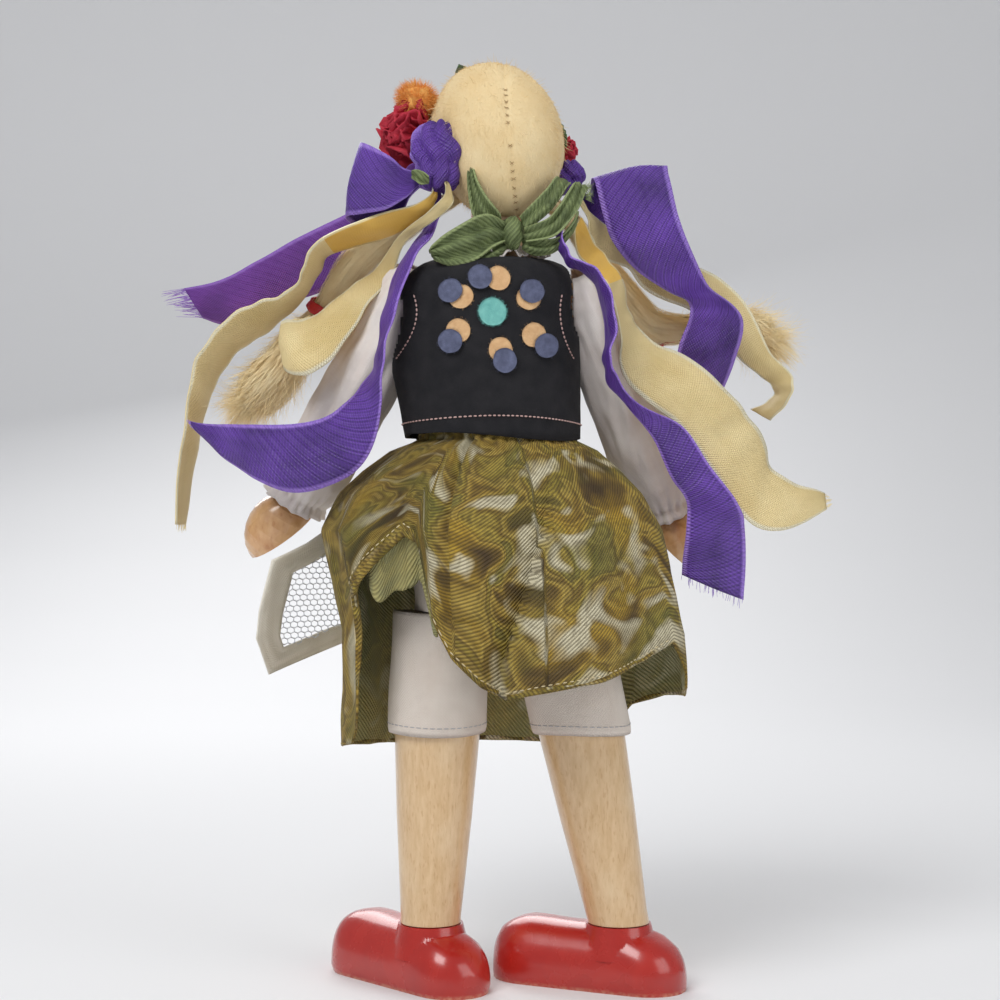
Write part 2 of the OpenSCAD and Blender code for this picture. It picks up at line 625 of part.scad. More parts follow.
// Nape bow: a green ribbon round the neck, knotted at the back, with a wide tail to the
// doll's left and folded loops to the right
bow_z = neck_z + neck_r * 0.37;
bow_band_t = 0.9;
bow_left_shares = [[0.0, 0.145, -0.2, -0.02, 0.15, -0.25], [0.06, 0.165, -0.13, 0.0, 0.17, -0.27],
    [0.13, 0.18, -0.165, 0.04, 0.185, -0.29], [0.2, 0.165, -0.26, 0.085, 0.19, -0.305]];
bow_loop_shares = [[-0.055, 0.16, -0.19, -0.055, 0.19, -0.235],
    [-0.12, 0.15, -0.145, -0.13, 0.2, -0.205], [-0.2, 0.13, -0.1, -0.225, 0.18, -0.15],
    [-0.245, 0.1, -0.09, -0.265, 0.16, -0.135], [-0.255, 0.06, -0.12, -0.27, 0.12, -0.165],
    [-0.2, 0.075, -0.18, -0.215, 0.13, -0.235], [-0.12, 0.11, -0.215, -0.125, 0.16, -0.26],
    [-0.06, 0.14, -0.215, -0.06, 0.17, -0.25]];
bow_fold_shares = [[-0.05, 0.19, -0.22, -0.05, 0.22, -0.25],
    [-0.13, 0.2, -0.215, -0.13, 0.225, -0.265], [-0.2, 0.19, -0.185, -0.21, 0.21, -0.23],
    [-0.235, 0.175, -0.15, -0.25, 0.2, -0.19]];
module nape_bow() {
    knot_r = neck_r * 0.45;
    ring_r = neck_r + cloth_gap;
    band_h = neck_r * 0.5;
    color("#6a8046")
    union() {
        translate([body_x, 0, bow_z])
        difference() {
            cylinder(r = ring_r + bow_band_t, h = band_h, center = true);
            cylinder(r = ring_r, h = band_h + over, center = true);
        }
        translate([body_x - neck_r * 0.55, ring_r + bow_band_t + knot_r * 0.9, bow_z])
        crumpled(knot_r, 1.3 * knot_r, knot_r * 0.8, 4, 0.1, 16, 7);
        ribbon(bow_left_shares);
        ribbon(bow_loop_shares);
        ribbon(bow_fold_shares);
    }
}

// Arms: one turned piece each, with a round shoulder end and the palm sliced flat
arm_x = arm_in + shoulder_t * 0.65;
hand_len = hand_r * 1.2;
palm_slope = 26;
module arm(splay) {
    wrist = arm_len - 2 * hand_len;
    difference() {
        translate([arm_x, 0, shoulder_z])
        rotate([0, -splay, 0])
        mirror([0, 0, 1])
        difference() {
            union() {
                rotate_extrude()
                polygon([[0, 0], [arm_r, 0], [arm_r, wrist * 0.5], [arm_r * 0.85, wrist],
                    for (a = [-60:15:75]) [hand_r * cos(a), arm_len - hand_len + hand_len * sin(a)],
                    [0, arm_len]]);
                sphere(r = arm_r);
            }
            translate([hand_r * 0.38, 0, arm_len])
            rotate([0, palm_slope, 0])
            translate([-arm_len, -arm_len / 2, -arm_len / 2])
            cube([arm_len, arm_len, arm_len]);
        }
        translate([arm_in, 0, shoulder_z])
        shoulder_room();
    }
    shoulder_end();
}
module shoulder_room() {
    translate([-chest_r, 0, 0])
    translate([0, -chest_r, -chest_r])
    cube([chest_r, 2 * chest_r, 2 * chest_r]);
}
module shoulder_end() {
    translate([arm_in, 0, shoulder_z])
    rotate([0, 90, 0])
    cylinder(r = shoulder_r, h = shoulder_t);
}
// Stands its child forward round the shoulder peg
module raised(raise) {
    translate([0, 0, shoulder_z])
    rotate([-raise, 0, 0])
    translate([0, 0, -shoulder_z])
    children();
}
module bored_arm(splay, raise) {
    color(skin_tone)
    raised(raise)
    difference() {
        arm(splay);
        translate([arm_in - over, 0, shoulder_z])
        rotate([0, 90, 0])
        cylinder(d = shoulder_peg_d + 2 * run_fit, h = shoulder_t + 2 * over);
        translate([arm_in + shoulder_t, 0, shoulder_z])
        rotate([0, 90, 0])
        cylinder(r = shoulder_r, h = shoulder_t);
    }
}
module left_arm() translate([body_x, 0, 0]) bored_arm(left_splay, left_raise);
module right_arm() {
    translate([body_x, 0, 0])
    mirror([1, 0, 0])
    bored_arm(right_splay, right_raise);
}

// Shoulder pegs: fixed in the body, each with a round head outside the arm
peg_head_t = 1;
module shoulder_peg() {
    color(wood)
    translate([shoulder_flat - shoulder_peg_in, 0, shoulder_z])
    rotate([0, 90, 0])
    union() {
        cylinder(d = shoulder_peg_d, h = shoulder_peg_in + 2 * face_fit + shoulder_t + peg_head_t);
        translate([0, 0, shoulder_peg_in + 2 * face_fit + shoulder_t])
        cylinder(d = shoulder_peg_d * 1.6, h = peg_head_t);
    }
}
module left_shoulder_peg() translate([body_x, 0, 0]) shoulder_peg();
module right_shoulder_peg() translate([body_x, 0, 0]) mirror([1, 0, 0]) shoulder_peg();

// Legs: a turned taper with a flat tongue at the top that a pin holds in the hip slot
tongue_t = slot_w - 2 * face_fit;
tongue_r = leg_top_r * 0.6;
leg_offset = 1.8;
module leg(lean) {
    leg_x = slot_x + leg_offset;
    drop = hip_z - ankle_z;
    reach = drop / cos(lean);
    calf_r = ankle_r + (leg_top_r - ankle_r) * 0.35;
    difference() {
        union() {
            translate([leg_x, 0, hip_z])
            rotate([0, -lean, 0])
            mirror([0, 0, 1])
            rotate_extrude()
            polygon([for (a = [0:15:90]) [leg_top_r * sin(a), dome_drop - leg_top_r * cos(a)],
                [leg_top_r, dome_drop + leg_top_r], [calf_r + (leg_top_r - ankle_r) * 0.2,
                reach * 0.68], [ankle_r, reach * 0.98], [ankle_r, reach + 2 * ankle_r],
                [0, reach + 2 * ankle_r]]);
            translate([slot_x - tongue_t / 2, 0, hip_z])
            rotate([0, 90, 0])
            cylinder(r = tongue_r, h = tongue_t);
            translate([slot_x - tongue_t / 2, -tongue_r, hip_z - dome_drop])
            cube([tongue_t, 2 * tongue_r, dome_drop]);
        }
        translate([leg_x - 4 * leg_top_r, -2 * leg_top_r, ankle_z - 4 * leg_top_r])
        cube([8 * leg_top_r, 4 * leg_top_r, 4 * leg_top_r]);
        translate([slot_x, 0, hip_z])
        rotate([0, 90, 0])
        cylinder(d = hip_pin_d + 2 * run_fit, h = slot_w + over, center = true);
        translate([ankle_x(lean), 0, ankle_z - over])
        cylinder(d = ankle_peg_d, h = ankle_peg_up + over);
    }
}
function ankle_x(lean) = slot_x + leg_offset + (hip_z - ankle_z) * tan(lean);
module left_leg() color(wood) translate([body_x, 0, 0]) leg(left_lean);
module right_leg() color(wood) translate([body_x, 0, 0]) mirror([1, 0, 0]) leg(right_lean);

// Hip pins: pressed through the hip on each side
module hip_pin(side) {
    color(wood)
    translate([body_x + side * slot_x, 0, hip_z])
    rotate([0, 90, 0])
    cylinder(d = hip_pin_d, h = hip_pin_len, center = true);
}
module left_hip_pin() hip_pin(1);
module right_hip_pin() hip_pin(-1);

// Ankle pegs: glued into the legs, they turn in the shoes
module ankle_peg(side, lean) {
    color(wood)
    translate([body_x + side * ankle_x(lean), 0, ankle_z - ankle_peg_down])
    cylinder(d = ankle_peg_d, h = ankle_peg_down + ankle_peg_up);
}
module left_ankle_peg() ankle_peg(1, left_lean);
module right_ankle_peg() ankle_peg(-1, right_lean);

// Shoes: carved round like a loaf, with a bulging toe, a flat sole and a bore for the ankle peg
sole_edge = 1.6;
sole_tuck_share = 0.93;
// Height of the shoe's top in shares of the toe's height, by shares of the toe's or heel's length
toe_top_shares = [[0, 0.97], [0.4, 0.97], [0.7, 1], [0.82, 0.95], [0.91, 0.82], [0.97, 0.62], [1, 0.42]];
heel_top_shares = [[0, 0.97], [0.3, 0.95], [0.6, 0.84], [0.82, 0.68], [0.94, 0.5], [1, 0.34]];
module shoe_form() {
    steps = 22;
    turns = 18;
    end_share = 0.03;
    toe_at = toe_len - toe_r;
    heel_at = heel_len - heel_r;
    rings = [
        for (i = [0:steps])
            let (t = end_share + (1 - 2 * end_share) * i / steps)
            let (x = -heel_len + (heel_len + toe_len) * (1 - cos(180 * t)) / 2)
            let (wide = x > toe_at ? toe_r * sqrt(1 - pow((x - toe_at) / toe_r, 2))
                : x < -heel_at ? heel_r * sqrt(1 - pow((x + heel_at) / heel_r, 2))
                : lookup(x, [[-heel_at, heel_r], [toe_at, toe_r]]))
            let (top = toe_h * (x > 0 ? lookup(x / toe_len, toe_top_shares)
                : lookup(-x / heel_len, heel_top_shares)))
            [for (k = [0:turns])
                let (a = 180 * k / turns)
                [x, wide * sign(cos(a)) * pow(abs(cos(a)), 0.75),
                    sole_edge + (top - sole_edge) * pow(sin(a), 0.8)],
                [x, -wide * sole_tuck_share, 0], [x, wide * sole_tuck_share, 0]]];
    skin_over(rings);
}
module shoe() {
    difference() {
        union() {
            shoe_form();
            translate([0, 0, toe_h / 2])
            cylinder(r1 = heel_r, r2 = ankle_r + over / 2, h = ankle_z - face_fit - toe_h / 2);
        }
        translate([0, 0, ankle_z - ankle_peg_down - face_fit])
        cylinder(d = ankle_peg_d + 2 * run_fit, h = ankle_peg_down + over);
        translate([0, 0, ankle_z - face_fit])
        cylinder(r = ankle_r + over, h = toe_h);
    }
}
module left_shoe() {
    color("#b8261f")
    translate([body_x + ankle_x(left_lean), 0, 0])
    rotate([0, 0, left_turn - 90])
    shoe();
}
module right_shoe() {
    color("#b8261f")
    translate([body_x - ankle_x(right_lean), 0, 0])
    rotate([0, 0, right_turn - 90])
    shoe();
}

// Blouse: a cotton tube over the body, with a hole for each shoulder
blouse_top_z = shoulder_top_z + cloth_gap + blouse_t;
blouse_tuck = 2;
module blouse() {
    color("#efe6dd")
    translate([body_x, 0, 0])
    difference() {
        rotate_extrude()
        cloth_profile(shoulder_top_z, cloth_gap, blouse_t, waist_z - blouse_tuck);
        armholes(armhole_r - blouse_t);
    }
}
// Profile of a garment that lies on the body with a given gap and thickness
module cloth_profile(top, gap, thick, bottom) {
    inner = body_outline(top, gap, bottom);
    outer = body_outline(top, gap + thick, bottom);
    polygon(concat(outer, [for (i = [len(inner) - 1:-1:0]) inner[i]]));
}
function body_outline(top, out, bottom) = [
    [waist_r + out, bottom], [waist_r + out, waist_top_z - out / 4],
    [chest_r + out, waist_top_z + chest_r - waist_r],
    [chest_r + out, top - shoulder_round],
    for (a = [15:15:75]) [chest_r - shoulder_round * (1 - cos(a)) + out * cos(a),
        top - shoulder_round * (1 - sin(a)) + out * sin(a)],
    [chest_r - shoulder_round, top + out], [neck_r + cloth_gap, top + out]];
module armholes(r) {
    for (side = [-1, 1])
        translate([side * waist_r / 2, 0, shoulder_z])
        rotate([0, side * 90, 0])
        cylinder(r = r, h = 2 * chest_r);
}

// Collar: a crinkled cotton ruffle standing round the neck
module collar() {
    waves = 18;
    steps = 72;
    inner_r = neck_r + cloth_gap;
    wave_h = collar_h * 0.16;
    rings = [
        for (i = [0:steps - 1])
            let (a = 360 * i / steps)
            let (swing = cos(waves * a) * wave_h)
            let (base = blouse_top_z + cloth_gap + wave_h)
            [for (p = [[collar_r, base + collar_h * 0.75 + swing],
                [collar_r, base + collar_h * 0.45 + swing], [inner_r + blouse_t, base],
                [inner_r, base], [inner_r, base + blouse_t]])
                [body_x + p[0] * cos(a), p[0] * sin(a), p[1]]]];
    color("#efe6dd")
    skin_over(rings, true);
}

// Sleeves: gathered cotton tubes that ride on the arms, wide above and drawn in at the cuff
sleeve_len = arm_len - cuff_to_tip;
sleeve_level_shares = [[0, 0.74], [0.1, 0.93], [0.35, 1], [0.7, 1], [0.88, 0.97], [0.96, 0.8],
    [1, 0.88]];
module sleeve(splay, raise) {
    steps = 36;
    folds = 6;
    top = shoulder_r - blouse_t;
    levels = len(sleeve_level_shares);
    rings = [
        for (i = [0:steps - 1])
            let (a = 360 * i / steps)
            let (wave = 0.035 * sleeve_r * cos(folds * a))
            let (outer = [for (s = sleeve_level_shares)
                [sleeve_r * s[1] + wave, top - (sleeve_len + top) * s[0]]])
            [for (p = concat(outer, [for (k = [levels - 1:-1:0])
                [outer[k][0] - blouse_t, outer[k][1]]]))
                [p[0] * cos(a), p[0] * sin(a), p[1]]]];
    color("#efe6dd")
    difference() {
        raised(raise)
        difference() {
            translate([arm_x, 0, shoulder_z])
            rotate([0, -splay, 0])
            skin_over(rings, true);
            translate([arm_in, 0, shoulder_z])
            rotate([0, 90, 0])
            cylinder(r = shoulder_r + cloth_gap, h = shoulder_t + peg_head_t + 2 * cloth_gap);
        }
        translate([bodice_r + cloth_gap - 4 * chest_r, -2 * chest_r, 0])
        cube([4 * chest_r, 4 * chest_r, 2 * shoulder_z]);
    }
}
module left_sleeve() translate([body_x, 0, 0]) sleeve(left_splay, left_raise);
module right_sleeve() {
    translate([body_x, 0, 0])
    mirror([1, 0, 0])
    sleeve(right_splay, right_raise);
}

// Bodice: a black felt vest over the blouse with two armholes
bodice_gap = 2 * cloth_gap + blouse_t;
bodice_r = chest_r + bodice_gap + felt_t;
module bodice() {
    straight_r = chest_r + bodice_gap;
    neckline_r = collar_r + cloth_gap;
    color("#1b1a1c")
    translate([body_x, 0, 0])
    difference() {
        rotate_extrude()
        polygon([[straight_r, bodice_bottom_z], [bodice_r, bodice_bottom_z],
            [bodice_r, shoulder_top_z - shoulder_round],
            for (a = [15:15:75]) [chest_r - shoulder_round * (1 - cos(a))
                + (bodice_gap + felt_t) * cos(a), shoulder_top_z - shoulder_round * (1 - sin(a))
                + (bodice_gap + felt_t) * sin(a)],
            for (a = [75:-15:0]) [chest_r - shoulder_round * (1 - cos(a)) + bodice_gap * cos(a),
                shoulder_top_z - shoulder_round * (1 - sin(a)) + bodice_gap * sin(a)]]);
        armholes(armhole_r);
        cylinder(r = neckline_r, h = 2 * shoulder_z);
    }
}

// Felt dots on the back: peach ones, slate ones that lie half over them, and one between
dot_t = 0.5;
dot_peach_shares = [[-0.12, 0.7], [-0.76, 0.3], [-0.87, -0.47], [-0.17, -0.79], [0.72, -0.38],
    [0.66, 0.33]];
dot_slate_shares = [[0.26, 0.73], [-0.83, 0.44], [-1.14, -0.69], [-0.26, -1.02], [0.89, -0.6],
    [0.89, 0.46]];
dot_field = bodice_r * 0.57;
dot_middle_x = bodice_r * 0.08;
dot_middle_z = shoulder_z - shoulder_r * 0.26;
// Discs that lie on the bodice's back in a layer a given distance out
module dots(places, d, layer) {
    translate([body_x, 0, 0])
    intersection() {
        rotate_extrude($fn = 96)
        cloth_profile(shoulder_top_z, bodice_gap + felt_t + layer, dot_t, bodice_bottom_z);
        union()
        for (p = places)
            translate([dot_middle_x + dot_field * p[0], 0, dot_middle_z + dot_field * p[1]])
            rotate([-90, 0, 0])
            cylinder(d = d, h = 2 * bodice_r);
    }
}
module peach_dots() color("#e0bd8a") dots(dot_peach_shares, dot_d, 0);
module slate_dots() color("#6c7390") dots(dot_slate_shares, dot_d, dot_t);
module turquoise_dot() color("#7fcfc0") dots([[0, 0]], big_dot_d, 0);

// Skirt: a gathered bell that hangs in folds; the back opening's corner is turned up
// Each row is a share of the drop and shares of the flare, to the left and to the right
skirt_level_shares = [[0, 0, 0], [0.04, 0, 0], [0.07, 0.3, 0.24], [0.13, 0.58, 0.48],
    [0.2, 0.82, 0.7], [0.31, 1, 0.9], [0.44, 0.9, 0.98], [0.62, 0.78, 1.14], [0.8, 0.75, 1.17],
    [1, 0.77, 1.05]];
skirt_front_shares = [[0, 0], [0.04, 0], [0.08, 0.04], [0.19, 0.15], [0.325, 0.33],
    [0.46, 0.52], [0.6, 0.72], [0.74, 0.88], [0.88, 0.96], [1, 1]];
skirt_back_shares = [[0, 0], [0.04, 0], [0.08, 0.2], [0.19, 0.45], [0.325, 0.66],
    [0.46, 0.8], [0.6, 0.9], [0.74, 0.97], [0.88, 1], [1, 1]];
// Rise of the hem above its lowest height, in shares of the skirt's length, round from the left
hem_shares = [[0, 0.03], [22, 0.1], [38, 0.42], [52, 0.58], [68, 0.55], [80, 0.36], [92, 0.22],
    [120, 0.26], [140, 0.33], [152, 0.36], [166, 0.22], [185, 0.18], [205, 0.17], [221, 0.13], [232, 0.03],
    [250, 0], [300, 0],
    [360, 0.03]];
skirt_top_z = waist_z + 2 * cloth_gap;
skirt_waist_r = waist_r + 2 * cloth_gap + blouse_t + skirt_t;
module skirt() {
    steps = 60;
    length = skirt_top_z - skirt_hem_z;
    flare_w = skirt_w - skirt_waist_r;
    rings = [
        for (i = [0:steps - 1])
            let (a = 360 * i / steps)
            let (drop = length * (1 - lookup(a, hem_shares)))
            let (depth_shares = sin(a) > 0 ? skirt_back_shares : skirt_front_shares)
            let (flare_d = (sin(a) > 0 ? skirt_back_d : skirt_d) - skirt_waist_r)
            let (side = cos(a) > 0 ? 1 : 2)
            let (outer = [for (level = skirt_level_shares)
                let (down = level[0] * drop / length)
                let (wide = skirt_waist_r
                    + flare_w * lookup(down, [for (s = skirt_level_shares) [s[0], s[side]]]))
                let (deep = skirt_waist_r + flare_d * lookup(down, depth_shares))
                let (fold = fold_depth * min(1, 2.5 * level[0]) * cos(fold_count * a + 30))
                [wide * cos(a) + fold * cos(a), deep * sin(a) + fold * sin(a),
                    skirt_top_z - level[0] * drop]])
            let (inward = [-skirt_t * cos(a), -skirt_t * sin(a), 0])
            concat(outer, [for (k = [len(outer) - 1:-1:0]) outer[k] + inward])];
    color("#8b7b33")
    translate([body_x, 0, 0])
    skin_over(rings, true);
}

// Drawers: linen over the hips with a straight tube down each leg
drawers_drop = 6;
drawers_top_z = waist_z - drawers_drop;
module drawers() {
    color("#e6dccf")
    difference() {
        drawers_form(cloth_gap + linen_t, 0);
        drawers_form(cloth_gap, over);
    }
}
module drawers_form(out, past) {
    translate([body_x, 0, 0])
    union() {
        rotate_extrude()
        polygon([[0, torso_bottom_z - out], [hip_r + out, torso_bottom_z - out],
            [hip_r + out, hip_z + hip_r / 2 + out / 2],
            [waist_r + out, torso_taper_z + out / 2], [waist_r + out, drawers_top_z + past],
            [0, drawers_top_z + past]]);
        for (side = [[1, left_lean], [-1, right_lean]])
            intersection() {
                translate([side[0] * (slot_x + leg_offset), 0, hip_z])
                rotate([0, -side[0] * side[1], 0])
                translate([0, 0, -hip_z])
                cylinder(r = leg_top_r + out, h = hip_z);
                translate([-2 * skirt_w, -skirt_d, drawers_hem_z - past])
                cube([4 * skirt_w, 2 * skirt_d, hip_z]);
            }
    }
}

// Apron: net bent round the front of the skirt and swung to the doll's left, with a ribbon
// border; a row is a share of the reach and a share of the height above the lowest corner
apron_outline_shares = [[-0.26, 1], [-0.25, 0.16], [0.28, 0.17], [0.67, 0.12], [0.963, 0],
    [1, 0.165], [0.985, 0.28], [0.93, 0.5], [0.8, 0.57], [0.68, 0.66], [0.5, 0.85], [0.28, 1]];
apron_outline = [for (p = apron_outline_shares)
    [apron_reach * p[0], apron_hem_z + (apron_top_z - apron_hem_z) * p[1]]];
// The bend is a cone whose upright axis lies behind the doll
apron_axis_x = 2.5;
apron_axis_y = apron_bend_r - skirt_waist_r - 2 * cloth_gap;
apron_hem_r = apron_axis_y + skirt_d + fold_depth + 3 * cloth_gap;
module apron_bend() {
    translate([body_x + apron_axis_x, apron_axis_y, 0])
    rotate_extrude($fn = 96)
    polygon([[apron_hem_r, apron_hem_z - over], [apron_hem_r + net_t, apron_hem_z - over],
        [apron_bend_r + net_t, apron_top_z + over], [apron_bend_r, apron_top_z + over]]);
}
// Brings a flat outline seen from behind through the front half of the bend
module through_bend() {
    intersection() {
        apron_bend();
        translate([body_x, apron_axis_y, 0])
        rotate([90, 0, 0])
        linear_extrude(2 * apron_bend_r)
        children();
    }
}
module apron_inner() {
    offset(delta = -border_w)
    polygon(apron_outline);
}
module apron_net() {
    pitch = net_gap + net_thread;
    row = pitch * sqrt(3) / 2;
    columns = ceil(apron_reach / pitch);
    color("#e9e6e4")
    through_bend()
    difference() {
        apron_inner();
        for (j = [1:floor((apron_top_z - apron_hem_z) / row)])
            for (i = [-columns:columns])
                let (x = (i + (j % 2) / 2) * pitch, z = apron_top_z - j * row)
                if (in_net(x, z))
                    translate([x, z])
                    rotate([0, 0, 30])
                    circle(d = net_gap / cos(30), $fn = 6);
    }
}
// True where a whole gap fits inside the net
function in_net(x, z) =
    let (edge = border_w + net_gap * 0.7)
    let (corners = len(apron_outline))
    min([for (i = [0:corners - 1])
        let (a = apron_outline[i], b = apron_outline[(i + 1) % corners], p = [x, z])
        let (run = b - a)
        let (t = max(0, min(1, (p - a) * run / (run * run))))
        norm(p - a - t * run)]) > edge
    && inside(x, z, corners);
function inside(x, z, corners) =
    let (hits = [for (i = [0:corners - 1])
        let (a = apron_outline[i], b = apron_outline[(i + 1) % corners])
        if ((a[1] > z) != (b[1] > z)
            && x < a[0] + (b[0] - a[0]) * (z - a[1]) / (b[1] - a[1])) 1])
    len(hits) % 2 == 1;
module apron_border() {
    color("#d8ccbb")
    through_bend()
    difference() {
        polygon(apron_outline);
        apron_inner();
    }
}

torso();
neck_dowel();
head();
hair_cap();
left_hair_tail();
right_hair_tail();
left_hair_tie();
right_hair_tie();
wreath_band();
wreath_leaves();
red_flower_left();
orange_flower();
front_flower();
red_flower_right();
left_ribbon_knot();
right_ribbon_knot();
left_purple_loop();
left_purple_tail();
left_purple_long();
left_yellow_long();
left_yellow_loop();
right_purple_loop();
right_purple_long();
right_yellow_long();
right_yellow_loop();
nape_bow();
left_arm();
right_arm();
left_shoulder_peg();
right_shoulder_peg();
left_leg();
right_leg();
left_hip_pin();
right_hip_pin();
left_ankle_peg();
right_ankle_peg();
left_shoe();
right_shoe();
blouse();
collar();
left_sleeve();
right_sleeve();
bodice();
peach_dots();
slate_dots();
turquoise_dot();
skirt();
drawers();
apron_net();
apron_border();
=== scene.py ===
import random
from math import acos, asin, ceil, cos, degrees, dist, exp, hypot, pi, radians, sin, sqrt

import bmesh
import bpy
from mathutils import Matrix, Vector, noise


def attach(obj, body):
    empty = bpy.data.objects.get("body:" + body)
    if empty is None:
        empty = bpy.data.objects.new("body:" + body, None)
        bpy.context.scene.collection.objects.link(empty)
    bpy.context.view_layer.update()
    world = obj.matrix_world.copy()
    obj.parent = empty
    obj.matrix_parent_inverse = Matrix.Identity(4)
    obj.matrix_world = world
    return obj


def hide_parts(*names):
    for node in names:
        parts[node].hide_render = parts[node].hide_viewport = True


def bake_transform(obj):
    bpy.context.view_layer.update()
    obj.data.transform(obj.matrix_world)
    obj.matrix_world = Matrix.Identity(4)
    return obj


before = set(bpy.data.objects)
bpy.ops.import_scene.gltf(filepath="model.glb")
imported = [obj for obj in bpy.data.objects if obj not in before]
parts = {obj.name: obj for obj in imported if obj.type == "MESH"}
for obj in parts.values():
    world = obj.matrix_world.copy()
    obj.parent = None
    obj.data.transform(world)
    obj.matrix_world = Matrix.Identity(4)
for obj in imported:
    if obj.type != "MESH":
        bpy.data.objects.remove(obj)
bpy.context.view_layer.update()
MM = 0.001
TURN = 2 * pi
GOLDEN_ANGLE = 2.39996

# Camera, floor and light. The camera stands behind the doll, level with its middle.
# The floor sweeps up into the backdrop, and three soft lamps light the cloth from above.
shot = bpy.context.scene
shot.view_settings.view_transform = "Standard"
CAMERA_Y, CAMERA_Z, FRAME_WIDTH, SENSOR = 440.0, 107.8, 1000 / 4.5, 36
camera = bpy.data.objects.new("camera", bpy.data.cameras.new("camera"))
shot.collection.objects.link(camera)
camera.location = (0, CAMERA_Y * MM, CAMERA_Z * MM)
camera.rotation_euler = (radians(90), 0, radians(180))
camera.data.sensor_width = SENSOR
camera.data.lens = SENSOR * CAMERA_Y / FRAME_WIDTH
camera.data.clip_start = 0.01
shot.camera = camera


def node(tree, kind, values=None, **settings):
    made = tree.nodes.new(kind)
    for name, value in settings.items():
        setattr(made, name, value)
    for name, value in (values or {}).items():
        if isinstance(value, bpy.types.NodeSocket):
            tree.links.new(value, made.inputs[name])
        else:
            made.inputs[name].default_value = value
    return made


def math_node(tree, operation, a, b=0.0, c=0.0):
    return node(tree, "ShaderNodeMath", {0: a, 1: b, 2: c}, operation=operation).outputs[0]


def times(tree, a, b):
    return math_node(tree, "MULTIPLY", a, b)


def vector_node(tree, operation, a, b=(0.0, 0.0, 0.0)):
    return node(tree, "ShaderNodeVectorMath", {0: a, 1: b}, operation=operation).outputs[0]


def ranged(tree, value, low=0.0, high=1.0, to=(0.0, 1.0)):
    """A value carried over from one range to another and held inside it."""
    return node(tree, "ShaderNodeMapRange", {0: value, 1: low, 2: high, 3: to[0], 4: to[1]}).outputs[0]


def clouds(tree, place, scale, detail, **more):
    return node(tree, "ShaderNodeTexNoise", {"Vector": place, "Scale": scale, "Detail": detail, **more}).outputs[0]


def own_place(tree):
    return node(tree, "ShaderNodeTexCoord").outputs["Object"]


def mix_colour(tree, share, a, b, how="MIX"):
    made = node(tree, "ShaderNodeMix", {0: share, 6: a, 7: b}, data_type="RGBA", blend_type=how)
    return made.outputs[2]


def new_finish(name, **constants):
    """A material with one Principled shader, whose even values are set on the shader itself."""
    finish = bpy.data.materials.new(name)
    finish.use_nodes = True
    shader = finish.node_tree.nodes["Principled BSDF"]
    for socket, value in constants.items():
        shader.inputs[socket.replace("_", " ")].default_value = value
    return finish, finish.node_tree, shader


def emboss(tree, shader, height, strength, depth):
    made = node(tree, "ShaderNodeBump", {"Height": height, "Strength": strength, "Distance": depth})
    tree.links.new(made.outputs[0], shader.inputs["Normal"])


sweep = bpy.data.meshes.new("studio_sweep")
profile = [(1.2, 0.0), (-0.5, 0.0)]
profile += [(-0.5 - 0.35 * sin(radians(a)), 0.35 - 0.35 * cos(radians(a)))
            for a in range(10, 91, 10)]
profile += [(-0.85, 1.6)]
corners = [(x, y, z) for y, z in profile for x in (-1.6, 1.6)]
sweep.from_pydata(corners, [], [(2 * i, 2 * i + 1, 2 * i + 3, 2 * i + 2) for i in range(len(profile) - 1)])
for face in sweep.polygons:
    face.use_smooth = True
studio = bpy.data.objects.new("studio_sweep", sweep)
shot.collection.objects.link(studio)
paper, tree, shader = new_finish("pale_paper", Roughness=0.9)
shader.inputs["Base Color"].default_value = (0.8, 0.8, 0.81, 1)
sweep.materials.append(paper)

for name, place, target, size, power in (
    ("key", (0.35, 0.55, 0.75), (0, 0, 0.11), 0.45, 5.0),
    ("fill", (-0.6, 0.45, 0.35), (0, 0, 0.1), 0.5, 1.7),
    ("front", (0.15, -0.6, 0.5), (0, 0, 0.1), 0.5, 2.6),
):
    lamp = bpy.data.objects.new(name, bpy.data.lights.new(name, "AREA"))
    lamp.data.size = size
    lamp.data.energy = power
    lamp.location = place
    lamp.rotation_euler = (Vector(place) - Vector(target)).to_track_quat("Z", "Y").to_euler()
    shot.collection.objects.link(lamp)
world = bpy.data.worlds.new("soft_room")
world.use_nodes = True
world.node_tree.nodes["Background"].inputs["Color"].default_value = (0.95, 0.97, 1.0, 1)
world.node_tree.nodes["Background"].inputs["Strength"].default_value = 0.32
shot.world = world


# Body, legs and pegs: turned beech, varnished clear. The legs hang on pins in the hips,
# and the neck, shoulder and ankle pegs turn in their bores.
def effect(name, takes, gives):
    """A shader node group; takes holds (name, kind, value) and gives holds (name, kind)."""
    tree = bpy.data.node_groups.new(name, "ShaderNodeTree")
    for socket, kind, value in takes:
        made = tree.interface.new_socket(socket, in_out="INPUT", socket_type="NodeSocket" + kind)
        if value is not None:
            made.default_value = value
    for socket, kind in gives:
        tree.interface.new_socket(socket, in_out="OUTPUT", socket_type="NodeSocket" + kind)
    return tree, tree.nodes.new("NodeGroupInput").outputs, tree.nodes.new("NodeGroupOutput").inputs


def use(tree, group, **values):
    made = tree.nodes.new("ShaderNodeGroup")
    made.node_tree = group
    for name, value in values.items():
        name = name.replace("_", " ")
        if isinstance(value, bpy.types.NodeSocket):
            tree.links.new(value, made.inputs[name])
        else:
            made.inputs[name].default_value = value
    return made.outputs


